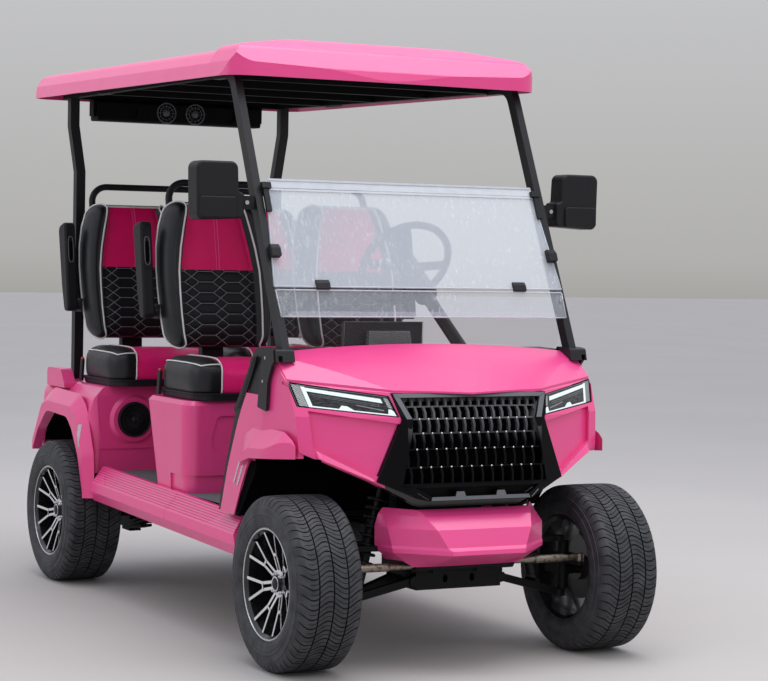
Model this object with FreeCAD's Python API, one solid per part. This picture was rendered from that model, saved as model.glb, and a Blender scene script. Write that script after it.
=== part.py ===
import FreeCAD, Part
import math
import os
from FreeCAD import Vector

# Four-seat golf cart with a lifted chassis, a fold-down windscreen and a moulded roof.
# Millimetres. The origin is on the ground under the middle of the cart, +Z up, the nose towards -Y,
# the driver's side (the cart's left) towards +X.

# Overall layout
half_length = 1475.0
front_axle_y = -1180.0
rear_axle_y = 1020.0
row_pitch = 880.0

# Wheels
tyre_radius = 292.0
tyre_width = 240.0
wheel_x = 572.0
flange_radius = 187.0
barrel_radius = 176.0
barrel_wall = 6.0
bead_gap = 0.3
hub_radius = 46.0
hub_bore_radius = 20.3
hub_inner_end = -50.0
hub_face = 62.0
spoke_pairs = 7
spoke_width = 10.0
spoke_depth = 16.0
disc_radius = 112.0
disc_width = 8.0
disc_offset = -34.0

# Steering
kingpin_x = 470.0
steer_arm_length = 110.0
rack_z = 344.0
wheel_centre = Vector(285.0, -300.0, 1352.0)
wheel_rim_radius = 178.0
wheel_grip_radius = 14.0
column_angle = 34.0
running_gap = 0.3
column_radius = 24.0

# Chassis
rail_inner_x = 145.0
rail_width = 50.0
rail_bottom = 382.0
rail_height = 60.0
rail_front_y = 145.0 - half_length
rail_rear_y = half_length - 75.0
sill_inner_x = 548.0
fit_gap = 0.3
outrigger_width = 40.0
tower_outer_x = 215.0
floor_z = 478.0
floor_thickness = 8.0
shock_top_z = 640.0

# Body
panel = 5.0
sill_x = 620.0
sill_top = 490.0
sill_bottom = 360.0
flare_x = 642.0
arch_top = 706.0
nose_wall = 58.0
hood_panel = 6.0

# Seats
pod_front_y = 742.0
deck_panel = 6.0
seat_outer_x = 525.0
seat_inner_x = 62.0
cushion_bottom = 826.0
cushion_top = 985.0
deck_z = cushion_bottom - fit_gap
cushion_front_y = -200.0
cushion_depth = 400.0
back_bottom = 1012.0
back_top = 1578.0
back_face_y = 96.0
back_thickness = 112.0
recline = 0.205
arm_pivot_y = 196.0
arm_pivot_z = 1150.0
arm_x0 = 548.0
arm_x1 = 596.0
arm_pin_radius = 10.0
arm_pin_depth = 24.0

# Pillars and roof
pillar_foot = Vector(567.0, -1046.0, 1045.0)
pillar_lean = 0.467
pillar_depth = 44.0
pillar_width = 28.0
pane_thickness = 5.0
pane_overlap_z = 1265.0
low_pane_top = 1168.0
cowl_cover_x = 606.0
rear_pillar_x = 465.0
rear_pillar_spread = 30.0
rear_pillar_y = 1297.0
rear_pillar_size = 40.0
roof_top = 2147.0
roof_bottom = roof_top - 135.0
roof_edge_z = roof_top - 85.0
roof_half_width = 618.0
roof_front_y = -722.0
roof_brow_rear_y = -478.0
roof_brow = 14.0
roof_flare = 18.0
roof_pitch = 0.0148
roof_shell = 6.0
roof_frame_z = roof_top - 117.0
roof_tube = 32.0
roof_bar_ys = (-430.0, 10.0, 450.0, 890.0, 1330.0)

os.makedirs("parts", exist_ok=True)


def fillet_path(points, radii, closed):
    """A wire through the points, with a tangent arc of the given radius at each corner."""
    count = len(points)
    corners = []
    for i, corner in enumerate(points):
        is_end = not closed and i in (0, count - 1)
        if radii[i] == 0 or is_end:
            corners.append((corner, None, corner))
            continue
        before = (corner - points[i - 1]).normalize()
        after = (points[(i + 1) % count] - corner).normalize()
        turn = before.getAngle(after)
        reach = radii[i] * math.tan(turn / 2)
        inward = (after - before).normalize()
        middle = corner + inward * (radii[i] / math.cos(turn / 2) - radii[i])
        corners.append((corner - before * reach, middle, corner + after * reach))
    edges = []
    for i in range(count if closed else count - 1):
        start, middle, end = corners[i]
        following = corners[(i + 1) % count][0]
        if middle is not None:
            edges.append(Part.Arc(start, middle, end).toShape())
        if (following - end).Length > 1e-4:
            edges.append(Part.LineSegment(end, following).toShape())
    return Part.Wire(edges)


def outline(corners, place):
    """A closed wire from rows of (u, v) or (u, v, radius), put in space by place(u, v)."""
    points = [place(row[0], row[1]) for row in corners]
    radii = [row[2] if len(row) > 2 else 0 for row in corners]
    return fillet_path(points, radii, True)


def prism_x(corners, x0, x1):
    """An outline in (y, z), extruded from x0 to x1."""
    return Part.Face(outline(corners, lambda y, z: Vector(x0, y, z))).extrude(Vector(x1 - x0, 0, 0))


def prism_y(corners, y0, y1):
    """An outline in (x, z), extruded from y0 to y1."""
    return Part.Face(outline(corners, lambda x, z: Vector(x, y0, z))).extrude(Vector(0, y1 - y0, 0))


def prism_z(corners, z0, z1):
    """An outline in (x, y), extruded from z0 to z1."""
    return Part.Face(outline(corners, lambda x, y: Vector(x, y, z0))).extrude(Vector(0, 0, z1 - z0))


def block(x0, x1, y0, y1, z0, z1):
    return Part.makeBox(x1 - x0, y1 - y0, z1 - z0, Vector(x0, y0, z0))


def rod(start, end, radius):
    return Part.makeCylinder(radius, (end - start).Length, start, end - start)


def bar(start, end, width, depth, across):
    """A straight bar of rectangular section; its width runs along the direction across."""
    along = (end - start).normalize()
    side = (across - along * across.dot(along)).normalize()
    up = along.cross(side)
    corners = [(-1, -1), (1, -1), (1, 1), (-1, 1)]
    wire = Part.makePolygon(
        [start + side * (a * width / 2) + up * (b * depth / 2) for a, b in corners + corners[:1]]
    )
    return Part.Face(wire).extrude(end - start)


def pipe(points, radius, bend):
    """A round tube along a path with equal bends."""
    path = fillet_path(points, [bend] * len(points), False)
    start = (points[1] - points[0]).normalize()
    profile = Part.Wire([Part.makeCircle(radius, points[0], start)])
    return path.makePipeShell([profile], True, False)


def mirrored(shape):
    return shape.mirror(Vector(0, 0, 0), Vector(1, 0, 0))


def both_sides(shape):
    return [shape, mirrored(shape)]


def mirror_outline(half):
    """A closed (x, z) or (x, y) outline from its +X half, listed from the middle round to the middle."""
    other = [(-row[0],) + tuple(row[1:]) for row in reversed(half) if row[0] != 0]
    return list(half) + other


def band(path, half):
    """The outline of a flat bar along an open (u, v) path; a row may carry the bend radius of its middle."""
    points = [Vector(row[0], row[1], 0) for row in path]
    left, right = [], []
    for i, point in enumerate(points):
        first = (point - points[i - 1]).normalize() if i else (points[1] - point).normalize()
        last = (points[i + 1] - point).normalize() if i + 1 < len(points) else first
        normal = (Vector(-first.y, first.x, 0) + Vector(-last.y, last.x, 0)).normalize()
        reach = half / normal.dot(Vector(-first.y, first.x, 0))
        turns_left = first.x * last.y - first.y * last.x > 0
        radius = path[i][2] if len(path[i]) > 2 else 0
        inner, outer = (max(radius - half, 0.5), radius + half) if radius else (0, 0)
        on_left, on_right = point + normal * reach, point - normal * reach
        left.append((on_left.x, on_left.y, inner if turns_left else outer))
        right.append((on_right.x, on_right.y, outer if turns_left else inner))
    return left + right[::-1]


def beyond(points, offset=0.0):
    """A large block outside the plane through three points, listed anticlockwise as seen from outside."""
    a, b, c = points
    normal = (b - a).cross(c - a).normalize()
    along = (b - a).normalize()
    across = normal.cross(along)
    middle = (a + b + c) / 3 + normal * offset
    reach = 700.0
    square = [(-1, -1), (1, -1), (1, 1), (-1, 1), (-1, -1)]
    wire = Part.makePolygon([middle + along * (u * reach) + across * (v * reach) for u, v in square])
    return Part.Face(wire).extrude(normal * reach)


def moved(shape, x=0.0, y=0.0, z=0.0):
    copy = shape.copy()
    copy.translate(Vector(x, y, z))
    return copy


def round_edges(shape, radius, wanted):
    """Fillets the edges for which wanted(edge) is true."""
    return shape.makeFillet(radius, [edge for edge in shape.Edges if wanted(edge)])


def in_plane(axis, value):
    """A test for edges that lie wholly in the plane axis = value."""
    def test(edge):
        box = edge.BoundBox
        low = getattr(box, axis + "Min")
        high = getattr(box, axis + "Max")
        return abs(low - value) < 0.01 and abs(high - value) < 0.01
    return test


def save(name, solids):
    """Writes one node. Solids is a shape or a list of shapes."""
    shapes = solids if isinstance(solids, list) else [solids]
    pieces = [solid for shape in shapes for solid in shape.Solids]
    for piece in pieces:
        if not piece.isValid() or piece.Volume <= 0:
            raise ValueError(name + " has a bad solid")
    Part.makeCompound(pieces).exportStep("parts/" + name + ".step")
    print(name, len(pieces), "solids", round(sum(p.Volume for p in pieces) / 1e6, 2), "litres")


# Wheels, in a frame of their own: the axle along +X, which points out of the cart

def make_tyre():
    shoulder = 22.0
    bulge_low = 215.0
    bulge_high = 268.0
    half = tyre_width / 2
    bead = flange_radius + bead_gap
    side = [(half - 12, bead), (half, bulge_low), (half - 6, bulge_high), (half - shoulder, tyre_radius)]
    profile = side + [(-u, v) for u, v in reversed(side)]
    wire = Part.makePolygon([Vector(u, 0, v) for u, v in profile + profile[:1]])
    return Part.Face(wire).revolve(Vector(0, 0, 0), Vector(1, 0, 0), 360)


def polar(radius, angle, u):
    return Vector(u, radius * math.sin(angle), radius * math.cos(angle))


def spoke_leg(radius0, angle0, radius1, angle1, face):
    """One straight leg of a spoke; face(radius) gives the outer face's place along the axle."""
    start = polar(radius0, angle0, face(radius0) - spoke_depth / 2)
    end = polar(radius1, angle1, face(radius1) - spoke_depth / 2)
    return bar(start, end, spoke_depth, spoke_width, Vector(1, 0, 0))


def make_rim():
    """A dished alloy wheel: paired spokes tied by a short bridge, a brake disc and a bored hub."""
    half = tyre_width / 2 - 12
    lip = 8.0
    inner = barrel_radius - barrel_wall
    profile = [
        (half, flange_radius), (half - lip, flange_radius), (half - 14, barrel_radius),
        (-half + 14, barrel_radius), (-half + lip, flange_radius), (-half, flange_radius),
        (-half, flange_radius - 6), (-half + 12, inner), (half - 12, inner), (half, flange_radius - 6),
    ]
    wire = Part.makePolygon([Vector(u, 0, v) for u, v in profile + profile[:1]])
    barrel = Part.Face(wire).revolve(Vector(0, 0, 0), Vector(1, 0, 0), 360)
    bridge_radius = 98.0
    rim_end = inner + 3
    hub_end = hub_radius - 8
    rim_face = half - 8

    def face(radius):
        share = (radius - hub_radius) / (inner - hub_radius)
        return hub_face + (rim_face - hub_face) * share

    pieces = []
    half_pitch = math.pi / spoke_pairs
    for pair in range(spoke_pairs):
        middle = 2 * pair * half_pitch
        for side in (-1, 1):
            hub_angle = middle + side * 0.26
            bridge_angle = middle + side * 0.115
            rim_angle = middle + side * half_pitch / 2
            pieces.append(spoke_leg(hub_end, hub_angle, bridge_radius, bridge_angle, face))
            pieces.append(spoke_leg(bridge_radius - 3, bridge_angle, rim_end, rim_angle, face))
        pieces.append(spoke_leg(bridge_radius, middle - 0.115, bridge_radius, middle + 0.115, face))
    hub = Part.makeCylinder(hub_radius, hub_face - hub_inner_end, Vector(hub_inner_end, 0, 0), Vector(1, 0, 0))
    cap = Part.makeCone(30, 26, 14, Vector(hub_face, 0, 0), Vector(1, 0, 0))
    disc = Part.makeCylinder(disc_radius, disc_width, Vector(disc_offset, 0, 0), Vector(1, 0, 0))
    bore = Part.makeCylinder(hub_bore_radius, 90, Vector(hub_inner_end, 0, 0), Vector(1, 0, 0))
    return hub.multiFuse([barrel, cap, disc] + pieces).cut(bore).removeSplitter()


def save_wheels():
    tyre = make_tyre()
    rim = make_rim()
    places = {
        "front_left": (1, front_axle_y), "front_right": (-1, front_axle_y),
        "rear_left": (1, rear_axle_y), "rear_right": (-1, rear_axle_y),
    }
    for name, (side, y) in places.items():
        for kind, shape in (("tyre", tyre), ("rim", rim)):
            turned = shape if side > 0 else mirrored(shape)
            save(kind + "_" + name, moved(turned, side * wheel_x, y, tyre_radius))


# Chassis and running gear

def make_chassis():
    """A ladder frame with outriggers under the floor and a tower for the front shocks."""
    rail_x1 = rail_inner_x + rail_width
    rail_top = rail_bottom + rail_height
    pieces = both_sides(block(rail_inner_x, rail_x1, rail_front_y, rail_rear_y, rail_bottom, rail_top))
    first, step, count = -735.0, 272.0, 6
    for i in range(count):
        y = first + i * step
        reach = sill_inner_x - fit_gap
        pieces.append(block(-reach, reach, y, y + outrigger_width, rail_bottom + 15, rail_top))
    for y in (rail_front_y, front_axle_y + 170, 900.0, 1150.0, rail_rear_y - outrigger_width):
        pieces.append(block(-rail_inner_x, rail_inner_x, y, y + outrigger_width, rail_bottom, rail_top))
    hanger_y = rail_rear_y - outrigger_width
    pieces.append(block(-350, 350, hanger_y, hanger_y + outrigger_width, rail_bottom, rail_top))
    tower_y0, tower_y1 = front_axle_y - 25, front_axle_y + 25
    tower = block(rail_x1 - 5, tower_outer_x, tower_y0, tower_y1, rail_bottom, shock_top_z + 20)
    for piece in both_sides(tower):
        pieces.append(piece)
    pieces.append(block(-rail_x1, rail_x1, tower_y0, tower_y1, shock_top_z - 20, shock_top_z + 20))
    for y in (900.0, 1150.0):
        post_top = deck_z - deck_panel - fit_gap
        pieces += both_sides(block(rail_inner_x, rail_x1, y, y + outrigger_width, rail_bottom, post_top))
    return pieces[0].multiFuse(pieces[1:]).removeSplitter()


lower_ball = Vector(455.0, front_axle_y, 206.0)
upper_ball = Vector(448.0, front_axle_y, 398.0)
upper_spread = 95.0
shock_foot = Vector(345.0, front_axle_y, 262.0)
shock_head = Vector(252.0, front_axle_y, shock_top_z)


def wishbone(inner_x, inner_z, spread, ball, thickness):
    """Two legs that meet at the ball joint."""
    legs = []
    for side in (-1, 1):
        inner = Vector(inner_x, front_axle_y + side * spread, inner_z)
        legs.append(bar(inner, ball + (inner - ball).normalize() * 20, thickness, thickness, Vector(0, 0, 1)))
        legs.append(rod(inner - Vector(0, 20, 0), inner + Vector(0, 20, 0), thickness * 0.7))
    legs.append(rod(ball - Vector(0, 0, thickness / 2), ball + Vector(0, 0, thickness / 2), 22))
    return legs[0].multiFuse(legs[1:])


def make_front_suspension():
    """The pressed cross-member, its hangers to the rails and both pairs of wishbones."""
    beam = block(-165, 165, front_axle_y - 85, front_axle_y + 130, 256, 318)
    for x in (-52, 52):
        beam = beam.cut(prism_y(
            [(x - 9, 278, 8), (x + 9, 278, 8), (x + 9, 304, 8), (x - 9, 304, 8)],
            front_axle_y - 100, front_axle_y - 70))
    beam = beam.cut(block(-150, 150, front_axle_y - 70, front_axle_y + 115, 262, 330))
    pieces = [beam]
    for side in both_sides(block(150, 190, front_axle_y - 55, front_axle_y + 120, 300, rail_bottom)):
        pieces.append(side)
    tab = block(rail_inner_x + rail_width - 20, rail_inner_x + rail_width + 26,
                front_axle_y - upper_spread - 20, front_axle_y + upper_spread + 20, rail_bottom + 8, rail_bottom + 34)
    tab = tab.cut(block(0, 600, front_axle_y - 26, front_axle_y + 26, 0, 900))
    lower = wishbone(168, 286, 66, lower_ball, 26)
    lower = lower.fuse(rod(Vector(345, front_axle_y - 34, 250), Vector(345, front_axle_y + 34, 250), 12))
    upper = wishbone(215, rail_bottom + 21, upper_spread, upper_ball, 18)
    chassis_clear = block(rail_inner_x, rail_inner_x + rail_width, -1600, -900, rail_bottom, 442)
    for shape in (lower, upper):
        pieces += both_sides(shape.cut(chassis_clear))
    pieces += both_sides(tab.cut(chassis_clear))
    return pieces[0].multiFuse(pieces[1:])


def make_shock():
    """A coil-over: a damper body, its rod and a spring of round rings."""
    axis = (shock_head - shock_foot).normalize()
    length = (shock_head - shock_foot).Length
    pieces = [
        rod(shock_foot + axis * 16, shock_foot + axis * (length * 0.62), 20),
        rod(shock_foot + axis * 60, shock_head, 9),
        rod(shock_foot + axis * 66, shock_foot + axis * 74, 38),
        rod(shock_head - axis * 34, shock_head - axis * 26, 38),
        rod(Vector(tower_outer_x + fit_gap, shock_head.y, shock_head.z), shock_head + Vector(14, 0, 0), 12),
    ]
    turns = 8
    for i in range(turns):
        centre = shock_foot + axis * (88 + i * (length - 140) / turns)
        ring = Part.makeTorus(31, 5.5, centre, axis)
        web = rod(centre - axis * 3, centre + axis * 3, 30)
        pieces += [ring, web]
    return pieces[0].multiFuse(pieces[1:])


def make_knuckle():
    """The left upright: kingpin barrel, spindle, steering arm and brake caliper."""
    top = upper_ball.z - 9 - running_gap
    bottom = lower_ball.z + 13 + running_gap
    barrel = rod(Vector(kingpin_x, front_axle_y, bottom), Vector(kingpin_x, front_axle_y, top), 19)
    spindle_end = wheel_x + hub_inner_end + 84
    spindle = rod(Vector(kingpin_x, front_axle_y, tyre_radius), Vector(spindle_end, front_axle_y, tyre_radius), 20)
    arm_y = front_axle_y - steer_arm_length
    arm_top = rack_z - 15
    arm = prism_z(
        [(kingpin_x - 14, front_axle_y), (kingpin_x - 14, arm_y - 14, 12),
         (kingpin_x + 14, arm_y - 14, 12), (kingpin_x + 14, front_axle_y)], arm_top - 14, arm_top)
    disc_x = wheel_x + disc_offset
    caliper = block(disc_x - 30, disc_x + disc_width + 18, front_axle_y + 70, front_axle_y + 128,
                    tyre_radius - 38, tyre_radius + 38)
    caliper = caliper.cut(block(disc_x - 6, disc_x + disc_width + 6, 0 - 2000, front_axle_y + 119,
                                tyre_radius - 60, tyre_radius + 60))
    bracket = block(kingpin_x - 12, disc_x - 22, front_axle_y, front_axle_y + 100,
                    tyre_radius - 24, tyre_radius + 24)
    return barrel.multiFuse([spindle, arm, caliper, bracket]).removeSplitter()


def make_rack_housing():
    y = front_axle_y - steer_arm_length
    tube = rod(Vector(-192, y, rack_z), Vector(192, y, rack_z), 22)
    pinion = rod(Vector(118, y + 8, rack_z - 2), Vector(118, y + 60, rack_z + 50), 16)
    feet = [block(x - 14, x + 14, y - 18, y + 30, 318, rack_z) for x in (-110, 60)]
    bore = rod(Vector(-300, y, rack_z), Vector(300, y, rack_z), 11 + running_gap)
    return tube.multiFuse([pinion] + feet).cut(bore)


def make_tie_rods():
    """The rack bar with a tie rod and its eye at each end, as one sliding piece."""
    y = front_axle_y - steer_arm_length
    rack = rod(Vector(-440, y, rack_z), Vector(440, y, rack_z), 11)
    pieces = []
    for side in (-1, 1):
        eye = Vector(side * kingpin_x, y, rack_z - 14)
        pieces.append(rod(eye, eye + Vector(0, 0, 26), 15))
        pieces.append(rod(Vector(side * 435, y, rack_z), Vector(side * (kingpin_x - 5), y, rack_z), 8))
        pieces.append(rod(Vector(side * 285, y, rack_z), Vector(side * 400, y, rack_z), 14))
    return rack.multiFuse(pieces)


def make_rear_axle():
    """The live axle: tubes, differential, brake plates and half shafts, with the drive motor in line."""
    def across(x0, x1, radius, y=rear_axle_y, z=tyre_radius):
        return rod(Vector(x0, y, z), Vector(x1, y, z), radius)
    shaft_end = wheel_x + hub_inner_end + 84
    pieces = [across(-shaft_end, shaft_end, 20), across(-36, 110, 84)]
    pieces += [across(-330, 330, 36)]
    pieces += both_sides(across(wheel_x + disc_offset - 66, wheel_x + disc_offset - 20, 92))
    pieces += both_sides(across(300, wheel_x + disc_offset - 50, 36))
    motor_y, motor_z = rear_axle_y - 30, tyre_radius + 6
    motor = rod(Vector(-36, motor_y, motor_z), Vector(-262, motor_y, motor_z), 74)
    return pieces[0].multiFuse(pieces[1:] + [motor])


def make_rear_springs():
    """A leaf pack on each side, bowed under the axle, with its eyes on the frame hangers, and a damper."""
    x0, x1 = 285.0, 335.0
    front_eye = Vector(0, rear_axle_y - 385, rail_bottom + 15)
    rear_eye = Vector(0, rail_rear_y - 20, rail_bottom)
    low = tyre_radius - 36 - 12
    pieces = []
    for leaf, share in enumerate((1.0, 0.72, 0.45)):
        z = low - 12 * leaf
        ends = [rear_axle_y + (point.y - rear_axle_y) * share for point in (front_eye, rear_eye)]
        rise = 100 * share * share
        rows = [(ends[0], z + rise), (rear_axle_y - 60, z, 300), (rear_axle_y + 60, z, 300), (ends[1], z + rise)]
        under = [(y, v - 12) + tuple(rest) for y, v, *rest in reversed(rows)]
        pieces.append(prism_x(rows + under, x0, x1))
    for eye in (front_eye, rear_eye):
        pieces.append(block(x0, x1, eye.y - 12, eye.y + 12, low + 70, eye.z))
    seat = block(x0, x1, rear_axle_y - 45, rear_axle_y + 45, low - 48, tyre_radius - 20)
    seat = seat.cut(rod(Vector(200, rear_axle_y, tyre_radius), Vector(400, rear_axle_y, tyre_radius), 36))
    pieces.append(seat)
    return both_sides(pieces[0].multiFuse(pieces[1:]))


# Body

speaker_x = 414.0
speaker_z = 689.0
speaker_radius = 72.0
hood_rear_y = -985.0
cowl_rear_top = 1012.0
lamp_rear_y = -1100.0

# Level table of the front body: z, then the half plan at that height as the rear edge (y, x),
# the side (x, y), the cheek (x, y), the grille corner (x, y) and the nose (x, y)
cowl_levels = [
    (470, -617, 606, 612, -950, 562, -1190, 352, -1300, 177, -1318),
    (632, -677, 606, 612, -950, 572, -1208, 362, -1331, 177, -1348),
    (723, -714, 603, 609, -955, 580, -1204, 328, -1338, 177, -1354),
    (845, -764, 597, 604, -965, 588, -1188, 282, -1346, 150, -1362),
    (975, -846, 590, 599, -985, 597, -1128, 306, -1282, 150, -1322),
    (1090, -905, 575, 588, -995, 586, -1066, 300, -1180, 150, -1215),
]


def cowl_mass(side_inset, nose_inset, rear_reach):
    """The front body as a solid, drawn in from its sides and nose and stretched at the rear."""
    wires = []
    for z, rear_y, rear_x, side_x, side_y, cheek_x, cheek_y, grille_x, grille_y, nose_x, nose_y in cowl_levels:
        taper = (rear_x - side_x) / (rear_y - side_y)
        half = [
            (rear_x - side_inset + taper * rear_reach, rear_y + rear_reach), (side_x - side_inset, side_y),
            (cheek_x - side_inset, cheek_y + side_inset * 0.6 + nose_inset * 0.1),
            (grille_x - nose_inset * 0.25, grille_y + nose_inset), (nose_x, nose_y + nose_inset),
        ]
        plan = half + [(-x, y) for x, y in reversed(half)]
        wires.append(outline(plan, lambda x, y, level=z: Vector(x, y, level)))
    return Part.makeLoft(wires, True, True)


def hood_slab(drop, thickness):
    """A crowned slab that follows the hood's top, lowered by drop."""
    sections = []
    for y, middle_z, edge_z in ((-985, 1088, 1052), (-1500, 852, 838)):
        top = [Vector(-640, y, edge_z - drop), Vector(0, y, middle_z - drop), Vector(640, y, edge_z - drop)]
        low = [point - Vector(0, 0, thickness) for point in top]
        sections.append(Part.Wire([
            Part.Arc(*top).toShape(), Part.LineSegment(top[2], low[2]).toShape(),
            Part.Arc(low[2], low[1], low[0]).toShape(), Part.LineSegment(low[0], top[0]).toShape(),
        ]))
    return Part.makeLoft(sections, True, True)


hood_facet = [Vector(304, -1306, 933), Vector(597, -1118, 972), Vector(503, -1083, 1030)]


def under_hood(drop):
    """The solid below the hood's top, lowered by drop: the crown and the facet above each lamp."""
    mass = hood_slab(drop, 300)
    for corner in both_sides(beyond(hood_facet, -drop)):
        mass = mass.cut(corner)
    return mass


lamp_outline = [(303, 917), (598, 956), (579, 877), (281, 848)]
grille_outline = mirror_outline([(0, 927), (298, 927), (275, 838), (357, 635), (200, 573), (0, 573)])
grille_hole = mirror_outline([(0, 897), (262, 897), (240, 842), (300, 650), (168, 600), (0, 600)])
grille_window = mirror_outline([(0, 909), (264, 909), (236, 841), (276, 628), (0, 628)])
grille_corner = [Vector(355, -1342, 636), Vector(275, -1354, 834), Vector(200, -1405, 575)]
grille_seat_y = -1302.0
nose_low = mirror_outline([(0, 545), (187, 545), (364, 632), (590, 731), (720, 737), (720, 300), (0, 300)])
cheek_recess = [(262, 824), (548, 864), (538, 744), (374, 660), (300, 640)]
front_arch = [(-788, 300), (-784, 362), (-744, 414, 50), (-736, 458, 60), (-803, 579, 60), (-864, 672, 40),
              (-905, arch_top, 40), (-1240, arch_top), (-1240, 300)]
rear_arch = [(716, 300), (722, 396), (787, 547, 120), (864, 650, 90), (926, arch_top - 10, 80),
             (1180, arch_top - 6, 90), (1290, 620, 80), (1352, 520), (1352, 300)]


def grow(corners, by):
    """An outline scaled about its middle so that its reach grows by the given length."""
    us = [row[0] for row in corners]
    vs = [row[1] for row in corners]
    mid_u, mid_v = (min(us) + max(us)) / 2, (min(vs) + max(vs)) / 2
    scale_u = 1 + 2 * by / (max(us) - min(us))
    scale_v = 1 + 2 * by / (max(vs) - min(vs))
    return [(mid_u + (u - mid_u) * scale_u, mid_v + (v - mid_v) * scale_v) for u, v in corners]


def make_cowl():
    """The front body shell: sides, cheeks and nose, open behind, below and under the hood."""
    outer = cowl_mass(0, 0, 0)
    shell = outer.cut(cowl_mass(panel, nose_wall, 60))
    shell = shell.common(under_hood(hood_panel + 0.5).fuse(block(-700, 700, -1500, -600, 400, 900)))
    shell = shell.cut(block(-700, 700, hood_rear_y, -600, cowl_rear_top, 1200))
    shell = shell.cut(prism_y(nose_low, -1700, -1200))
    for side in both_sides(prism_x(front_arch, 300, 700)):
        shell = shell.cut(side)
    dish = prism_y(cheek_recess, -1500, -1150).cut(cowl_mass(14, 14, 0))
    for side in both_sides(dish):
        shell = shell.cut(side)
    shell = shell.cut(prism_y(grille_outline, -1700, grille_seat_y))
    shell = shell.cut(prism_y(grille_hole, -1700, -1200))
    for side in both_sides(prism_y(grow(lamp_outline, 0.5), -1700, lamp_rear_y + 2)):
        shell = shell.cut(side)
    return shell


def make_headlamps():
    body = cowl_mass(3, 3, 0).cut(cowl_mass(48, 44, 0))
    lamp = prism_y(lamp_outline, -1700, lamp_rear_y).common(body)
    return both_sides(lamp.common(under_hood(hood_panel + 0.5)))


def make_hood():
    """The crowned hood panel with a facet falling to each lamp, cut to the plan of the front body."""
    plan = mirror_outline([(0, -1336), (288, -1308), (594, -1128), (590, -1008), (0, -1008)])
    return under_hood(0).cut(under_hood(hood_panel)).common(prism_z(plan, 880, 1200))


def make_grille():
    """The black frame, its lattice of staggered upright links and the notched bar at the chin."""
    face = [(-1413, 540), (-1408, 579), (-1358, 840), (-1314, 932)]

    def slab(depth0, depth1):
        """The space between two depths behind the sloping face."""
        near = [(y + depth0, z) for y, z in face]
        far = [(y + depth1, z) for y, z in reversed(face)]
        return prism_x(near + far, -700, 700)

    body = slab(0, 200).common(block(-700, 700, -1500, grille_seat_y - 0.3, 500, 1000))
    for corner in both_sides(beyond(grille_corner)):
        body = body.cut(corner)
    frame = prism_y(grow(grille_outline, -0.5), -1500, -1200).common(body)
    frame = frame.cut(prism_y(grille_window, -1500, -1200))
    chin_gaps = mirror_outline([(0, 618), (240, 618), (188, 588), (98, 588), (92, 604), (64, 604), (58, 588),
                                (0, 588)])
    frame = frame.cut(prism_y(chin_gaps, -1500, -1374))
    row_levels = (909, 881, 841, 794, 742, 683, 628)
    links = []
    for row in range(len(row_levels) - 1):
        top, low = row_levels[row], row_levels[row + 1]
        pitch = 33.5 + (841 - (top + low) / 2) * 0.028
        for column in range(-8, 9):
            x = (column + 0.5 * (row % 2)) * pitch
            links.append(prism_y([(x - 5, top), (x + 4, top), (x + 7, (top + low) / 2), (x + 3, low), (x - 4, low),
                                  (x - 1, (top + low) / 2)], -1500, -1200))
        links.append(block(-340, 340, -1500, -1200, low - 2, low + 2))
    lattice = links[0].multiFuse(links[1:]).common(slab(14, 28))
    lattice = lattice.common(prism_y(grow(grille_window, 3), -1500, -1200))
    behind_seat = block(-400, 400, grille_seat_y - fit_gap, -1200, 897, 1000)
    return frame.fuse(lattice.cut(behind_seat))


# Level table of the lower cover: z, then the half plan as the crease (x, y), the side (x, y) and the end x
bumper_rear_y = 229.0 - half_length
bumper_levels = [
    (344, 130, 141 - half_length, 205, 159 - half_length, 248),
    (398, 138, -half_length, 289, 143 - half_length, 312),
    (412, 140, 3 - half_length, 292, 145 - half_length, 314),
    (422, 150, 17 - half_length, 291, 149 - half_length, 315),
    (480, 180, 38 - half_length, 300, 165 - half_length, 316),
    (520, 203, 83 - half_length, 288, 203 - half_length, 304),
    (540, 212, 117 - half_length, 280, 217 - half_length, 288),
]


def bumper_mass():
    wires = []
    for z, crease_x, crease_y, side_x, side_y, end_x in bumper_levels:
        half = [(crease_x, crease_y), (side_x, side_y), (end_x, bumper_rear_y)]
        plan = half + [(-x, y) for x, y in reversed(half)]
        wires.append(outline(plan, lambda x, y, level=z: Vector(x, y, level)))
    return Part.makeLoft(wires, True, True)


def make_lower_bumper():
    """The faceted cover below the grille, with a ridge and a tucked lip, on two arms from the rails."""
    wall = 12.0
    mass = bumper_mass()
    shell = mass.cut(moved(mass, 0, wall, 0))
    rod_room = block(120, 400, -1315, -1200, 300, rack_z + 22)
    wishbone_room = block(270, 400, -1259, -1200, 380, 412)
    for side in both_sides(rod_room) + both_sides(wishbone_room):
        shell = shell.cut(side)
    arms = both_sides(block(rail_inner_x + 10, rail_inner_x + 34, 53 - half_length, rail_front_y - 0.3, 392, 432))
    return shell.multiFuse(arms)


def flare(wide, narrow, opening, x0):
    """A wheel-arch flare that swells from its wide outline on the body to its narrow one, less the arch."""
    rims = [outline(rows, lambda y, z, level=x: Vector(level, y, z)) for rows, x in ((wide, x0), (narrow, flare_x))]
    return Part.makeLoft(rims, True, True).cut(prism_x(opening, x0 - 50, flare_x + 50))


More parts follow.
